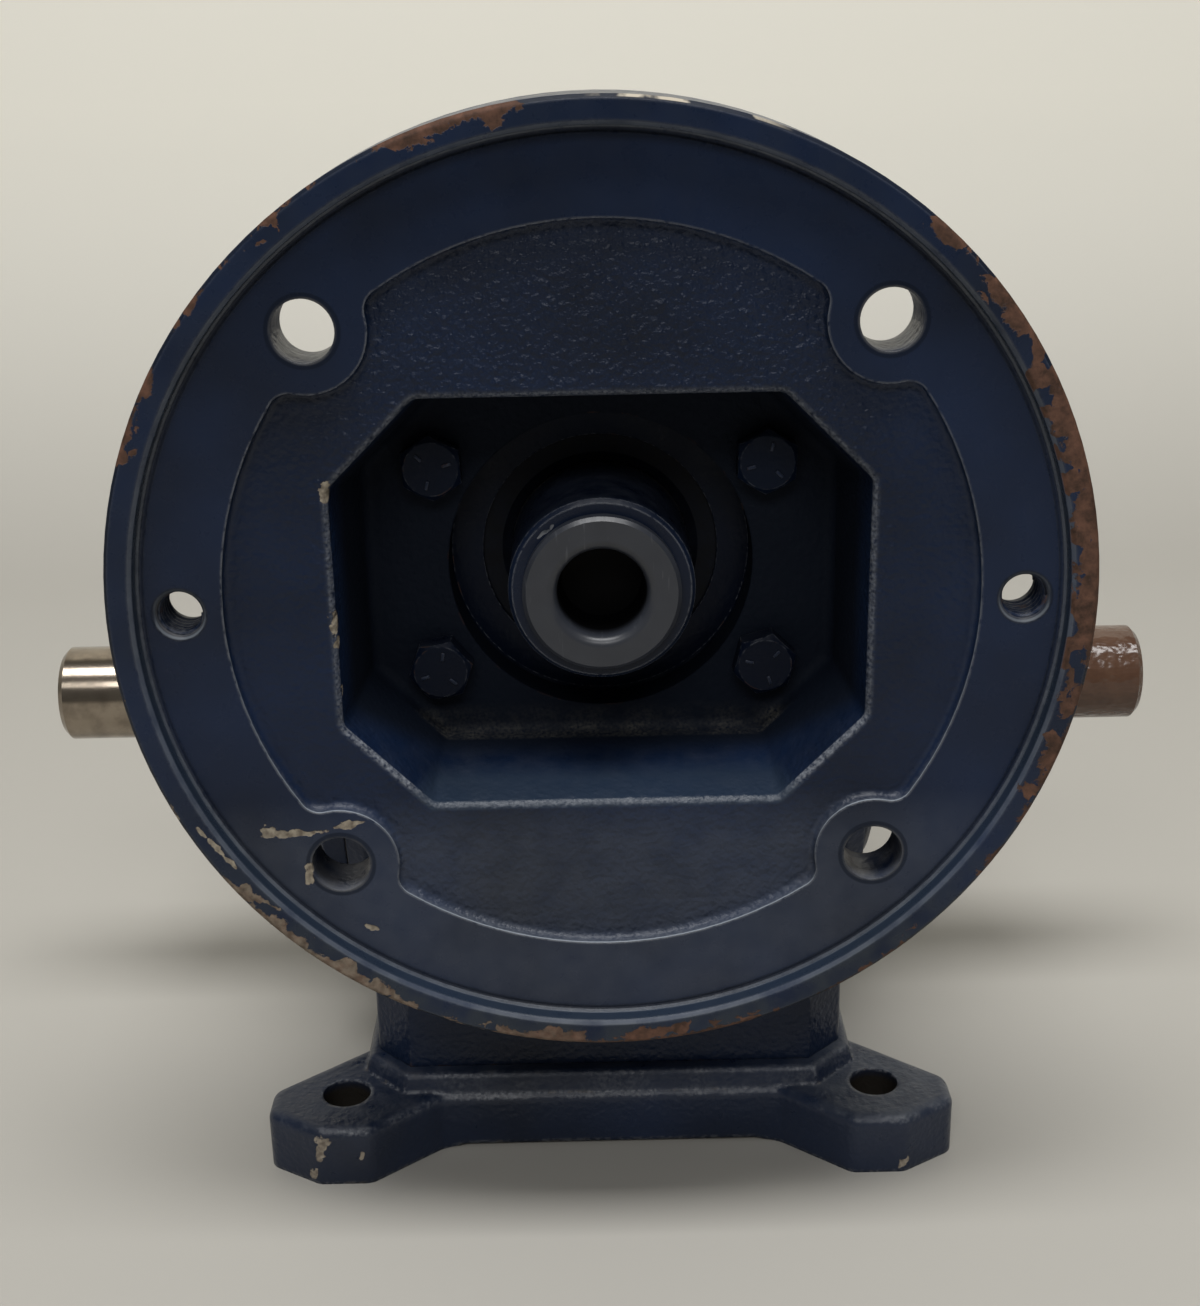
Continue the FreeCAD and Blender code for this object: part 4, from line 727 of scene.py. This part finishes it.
# finishes of the pieces that mostly stay inside: two tones, a grain size and its height in mm
plain = {
    # black, with a faint sheen of oil
    "oiled nitrile rubber": {
        "low": "06080E", "high": "0C101A", "grainMm": 0.8, "grainHigh": 0.02, "rough": 0.5, "shine": 0.12,
        "on": ["output_seal_left", "output_seal_right", "input_seal", "carrier_ring"]},
    # brown and quite matt
    "pressed fibre gasket": {
        "low": "2A2620", "high": "4A4238", "grainMm": 0.6, "grainHigh": 0.05, "rough": 0.8,
        "on": ["flange_gasket", "cover_gasket_left", "cover_gasket_right", "rear_cap_gasket"]},
    # near black, half metal
    "black oxide steel": {
        "low": "17171A", "high": "2B2B2E", "grainMm": 1.0, "grainHigh": 0.02, "rough": 0.4, "metallic": 0.7,
        "on": ["base_bolts", "snap_ring", "lock_washer", "lock_nut", "wheel_key"]},
    # yellow gone brown
    "dull plumbing brass": {
        "low": "4E4328", "high": "8A7849", "grainMm": 2.0, "grainHigh": 0.02, "rough": 0.42, "metallic": 0.9,
        "on": ["breather"]},
    # bright and even
    "hardened bearing steel": {
        "low": "8A8A8C", "high": "B4B4B6", "grainMm": 0.7, "grainHigh": 0.004, "rough": 0.2, "metallic": 1.0,
        "on": ["output_bearing_cone_left", "output_bearing_cone_right", "output_bearing_cup_left",
               "output_bearing_cup_right", "output_rollers_left", "output_rollers_right",
               "front_bearing_outer", "front_bearing_inner", "front_bearing_balls", "rear_bearing_outer",
               "rear_bearing_inner", "rear_bearing_balls"]},
    # dark grey with tool marks
    "machined grey iron": {
        "low": "3A3A3C", "high": "5C5B5A", "grainMm": 1.2, "grainHigh": 0.03, "rough": 0.5, "metallic": 0.6,
        "on": ["wheel_hub", "wheel_spacer"]},
    # warm yellow brown
    "cast tin bronze": {
        "low": "7A5A2E", "high": "B08A4C", "grainMm": 1.5, "grainHigh": 0.03, "rough": 0.36, "metallic": 1.0,
        "on": ["wheel_rim"]},
}
toneGrains = 6  # grains across one tone
roughSpread = 0.1


def plainFinish(name, opts):
    material, tree, coords = newMaterial(name)
    grainSize = opts["grainMm"] * mm
    grain = put(tree, "TexNoise", {"Vector": coords, "Scale": 1 / grainSize, "Detail": 4.0, "Roughness": 0.6})
    tone = put(tree, "TexNoise", {"Vector": coords, "Scale": 1 / (toneGrains * grainSize), "Detail": 3.0})
    share = put(tree, "Math", {0: grain, 1: tone}, operation="MULTIPLY")
    share = put(tree, "MapRange", {"Value": share, "From Min": 0.12, "From Max": 0.38})
    colour = put(tree, "Mix", {"Factor": share, "A": linear(opts["low"]), "B": linear(opts["high"])},
                 out="Result", data_type="RGBA")
    smooth, coarse = opts["rough"] - roughSpread, opts["rough"] + roughSpread
    uneven = put(tree, "MapRange", {"Value": tone, "To Min": smooth, "To Max": coarse})
    normal = put(tree, "Bump", {"Height": grain, "Strength": 1.0, "Distance": opts["grainHigh"] * mm})
    finishMaterial(tree, {"Base Color": colour, "Roughness": uneven, "Normal": normal,
                          "Metallic": opts.get("metallic", 0.0),
                          "Specular IOR Level": opts.get("shine", 0.5)})
    return material


for name, opts in plain.items():
    dress(opts["on"], plainFinish(name, opts))
print("shafts, plug and inner pieces finished")

sharpAngle = math.radians(35)


def addPiece(name, bm, material, body):
    bmesh.ops.recalc_face_normals(bm, faces=bm.faces)
    mesh = bpy.data.meshes.new(name)
    bm.to_mesh(mesh)
    bm.free()
    mesh.materials.append(material)
    for face in mesh.polygons:
        face.use_smooth = True
    mesh.set_sharp_from_angle(angle=sharpAngle)
    piece = bpy.data.objects.new(name, mesh)
    scene.collection.objects.link(piece)
    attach(piece, body)


# strength ticks forged on the bolt heads: three short ribs, 120 degrees apart; sizes in mm
ticks = {"inner": 3.0, "reach": 2.2, "wide": 0.8, "high": 0.45, "sunk": 0.25, "round": 0.18}


def tickRibs(bm, opts, place, turn, size=1.0):
    block = (opts["reach"] * mm, opts["wide"] * mm, (opts["high"] + opts["sunk"]) * mm)
    out, lift = opts["inner"] + opts["reach"] / 2, (opts["high"] - opts["sunk"]) / 2
    shift = Matrix.Translation((out * mm, 0, lift * mm))
    for third in range(3):
        verts = bmesh.ops.create_cube(bm, size=1.0)["verts"]
        bmesh.ops.scale(bm, verts=verts, vec=block)
        edges = list({e for v in verts for e in v.link_edges})
        made = bmesh.ops.bevel(bm, geom=edges, offset=opts["round"] * mm, segments=2, profile=0.5,
                               affect="EDGES", material=-1)
        verts = list({v for f in made["faces"] for v in f.verts})
        spun = Matrix.Rotation(math.radians(turn + 120 * third), 4, "Z")
        bmesh.ops.transform(bm, matrix=place @ spun @ Matrix.Scale(size, 4) @ shift, verts=verts)


# heads in a rectangle on the front and back of the worm's axis; top is how far out they reach
squareHeads = {
    "flange_bolt_ticks": {"facing": -1, "top": 97.95, "half": (41.0, 26.2), "turns": (80, 15, 46, 75),
                          "paint": rubbedEnamel},
    "rear_cap_bolt_ticks": {"facing": 1, "top": 95.75, "half": (35.0, 35.0), "turns": (10, 70, -30, 40),
                            "paint": boltEnamel},
}


def addSquareTicks(name, opts):
    bm = bmesh.new()
    outward = Vector((0, opts["facing"], 0))
    turned = outward.to_track_quat("Z", "Y").to_matrix().to_4x4()
    spots = [(sx * opts["half"][0], sz * opts["half"][1]) for sx in (-1, 1) for sz in (-1, 1)]
    for (x, z), turn in zip(spots, opts["turns"]):
        centre = outward * opts["top"] * mm + Vector((x * mm, 0, wormHeight + z * mm))
        tickRibs(bm, ticks, Matrix.Translation(centre) @ turned, turn)
    addPiece(name, bm, opts["paint"], "case")


for name, opts in squareHeads.items():
    addSquareTicks(name, opts)

# the same ribs on the six screws of each output cover
coverHeads = {
    "left": {"side": -1, "top": 85.0, "circle": 67.5, "start": 0, "size": 1.0, "turn": 37},
    "right": {"side": 1, "top": 82.4, "circle": 48.2, "start": 30, "size": 0.85, "turn": 37},
}


def addCoverTicks(word, opts):
    bm = bmesh.new()
    side = opts["side"]
    turned = Vector((side, 0, 0)).to_track_quat("Z", "Y").to_matrix().to_4x4()
    for i in range(6):
        angle = math.radians(opts["start"] + 60 * i)
        centre = Vector((side * opts["top"] * mm, side * opts["circle"] * mm * math.cos(angle),
                         outputHeight + opts["circle"] * mm * math.sin(angle)))
        tickRibs(bm, ticks, Matrix.Translation(centre) @ turned, opts["turn"] * i, opts["size"])
    addPiece("cover_bolt_ticks_" + word, bm, boltEnamel, "case")


for word, opts in coverHeads.items():
    addCoverTicks(word, opts)
print("ticks on the bolt heads")

# half-inch threads in the two jack screw holes, a ridge wound down each wall; sizes in mm
jackThread = {"at": 98.4, "wall": 5.45, "crest": 4.85, "pitch": 1.954, "ridge": 0.82, "crestHalf": 0.12,
              "front": -125.2, "turns": 6, "steps": 40}


def addJackThreads(opts):
    bm = bmesh.new()
    half = opts["pitch"] / 2 * opts["ridge"]
    outline = [(opts["wall"], -half), (opts["crest"], -opts["crestHalf"]), (opts["crest"], opts["crestHalf"]),
               (opts["wall"], half)]
    for side in (-1, 1):
        centre = Vector((side * opts["at"] * mm, 0, wormHeight))
        ring = [bm.verts.new(centre + Vector((r * mm, (opts["front"] + a) * mm, 0))) for r, a in outline]
        start = bm.faces.new(ring)
        bmesh.ops.spin(bm, geom=[start] + start.edges[:] + ring, cent=centre, axis=(0, 1, 0),
                       dvec=(0, opts["pitch"] / opts["steps"] * mm, 0), angle=2 * math.pi * opts["turns"],
                       steps=opts["turns"] * opts["steps"], use_merge=False)
    addPiece("jack_hole_threads", bm, smoothEnamel, "case")


addJackThreads(jackThread)
print("threads in the jack screw holes")
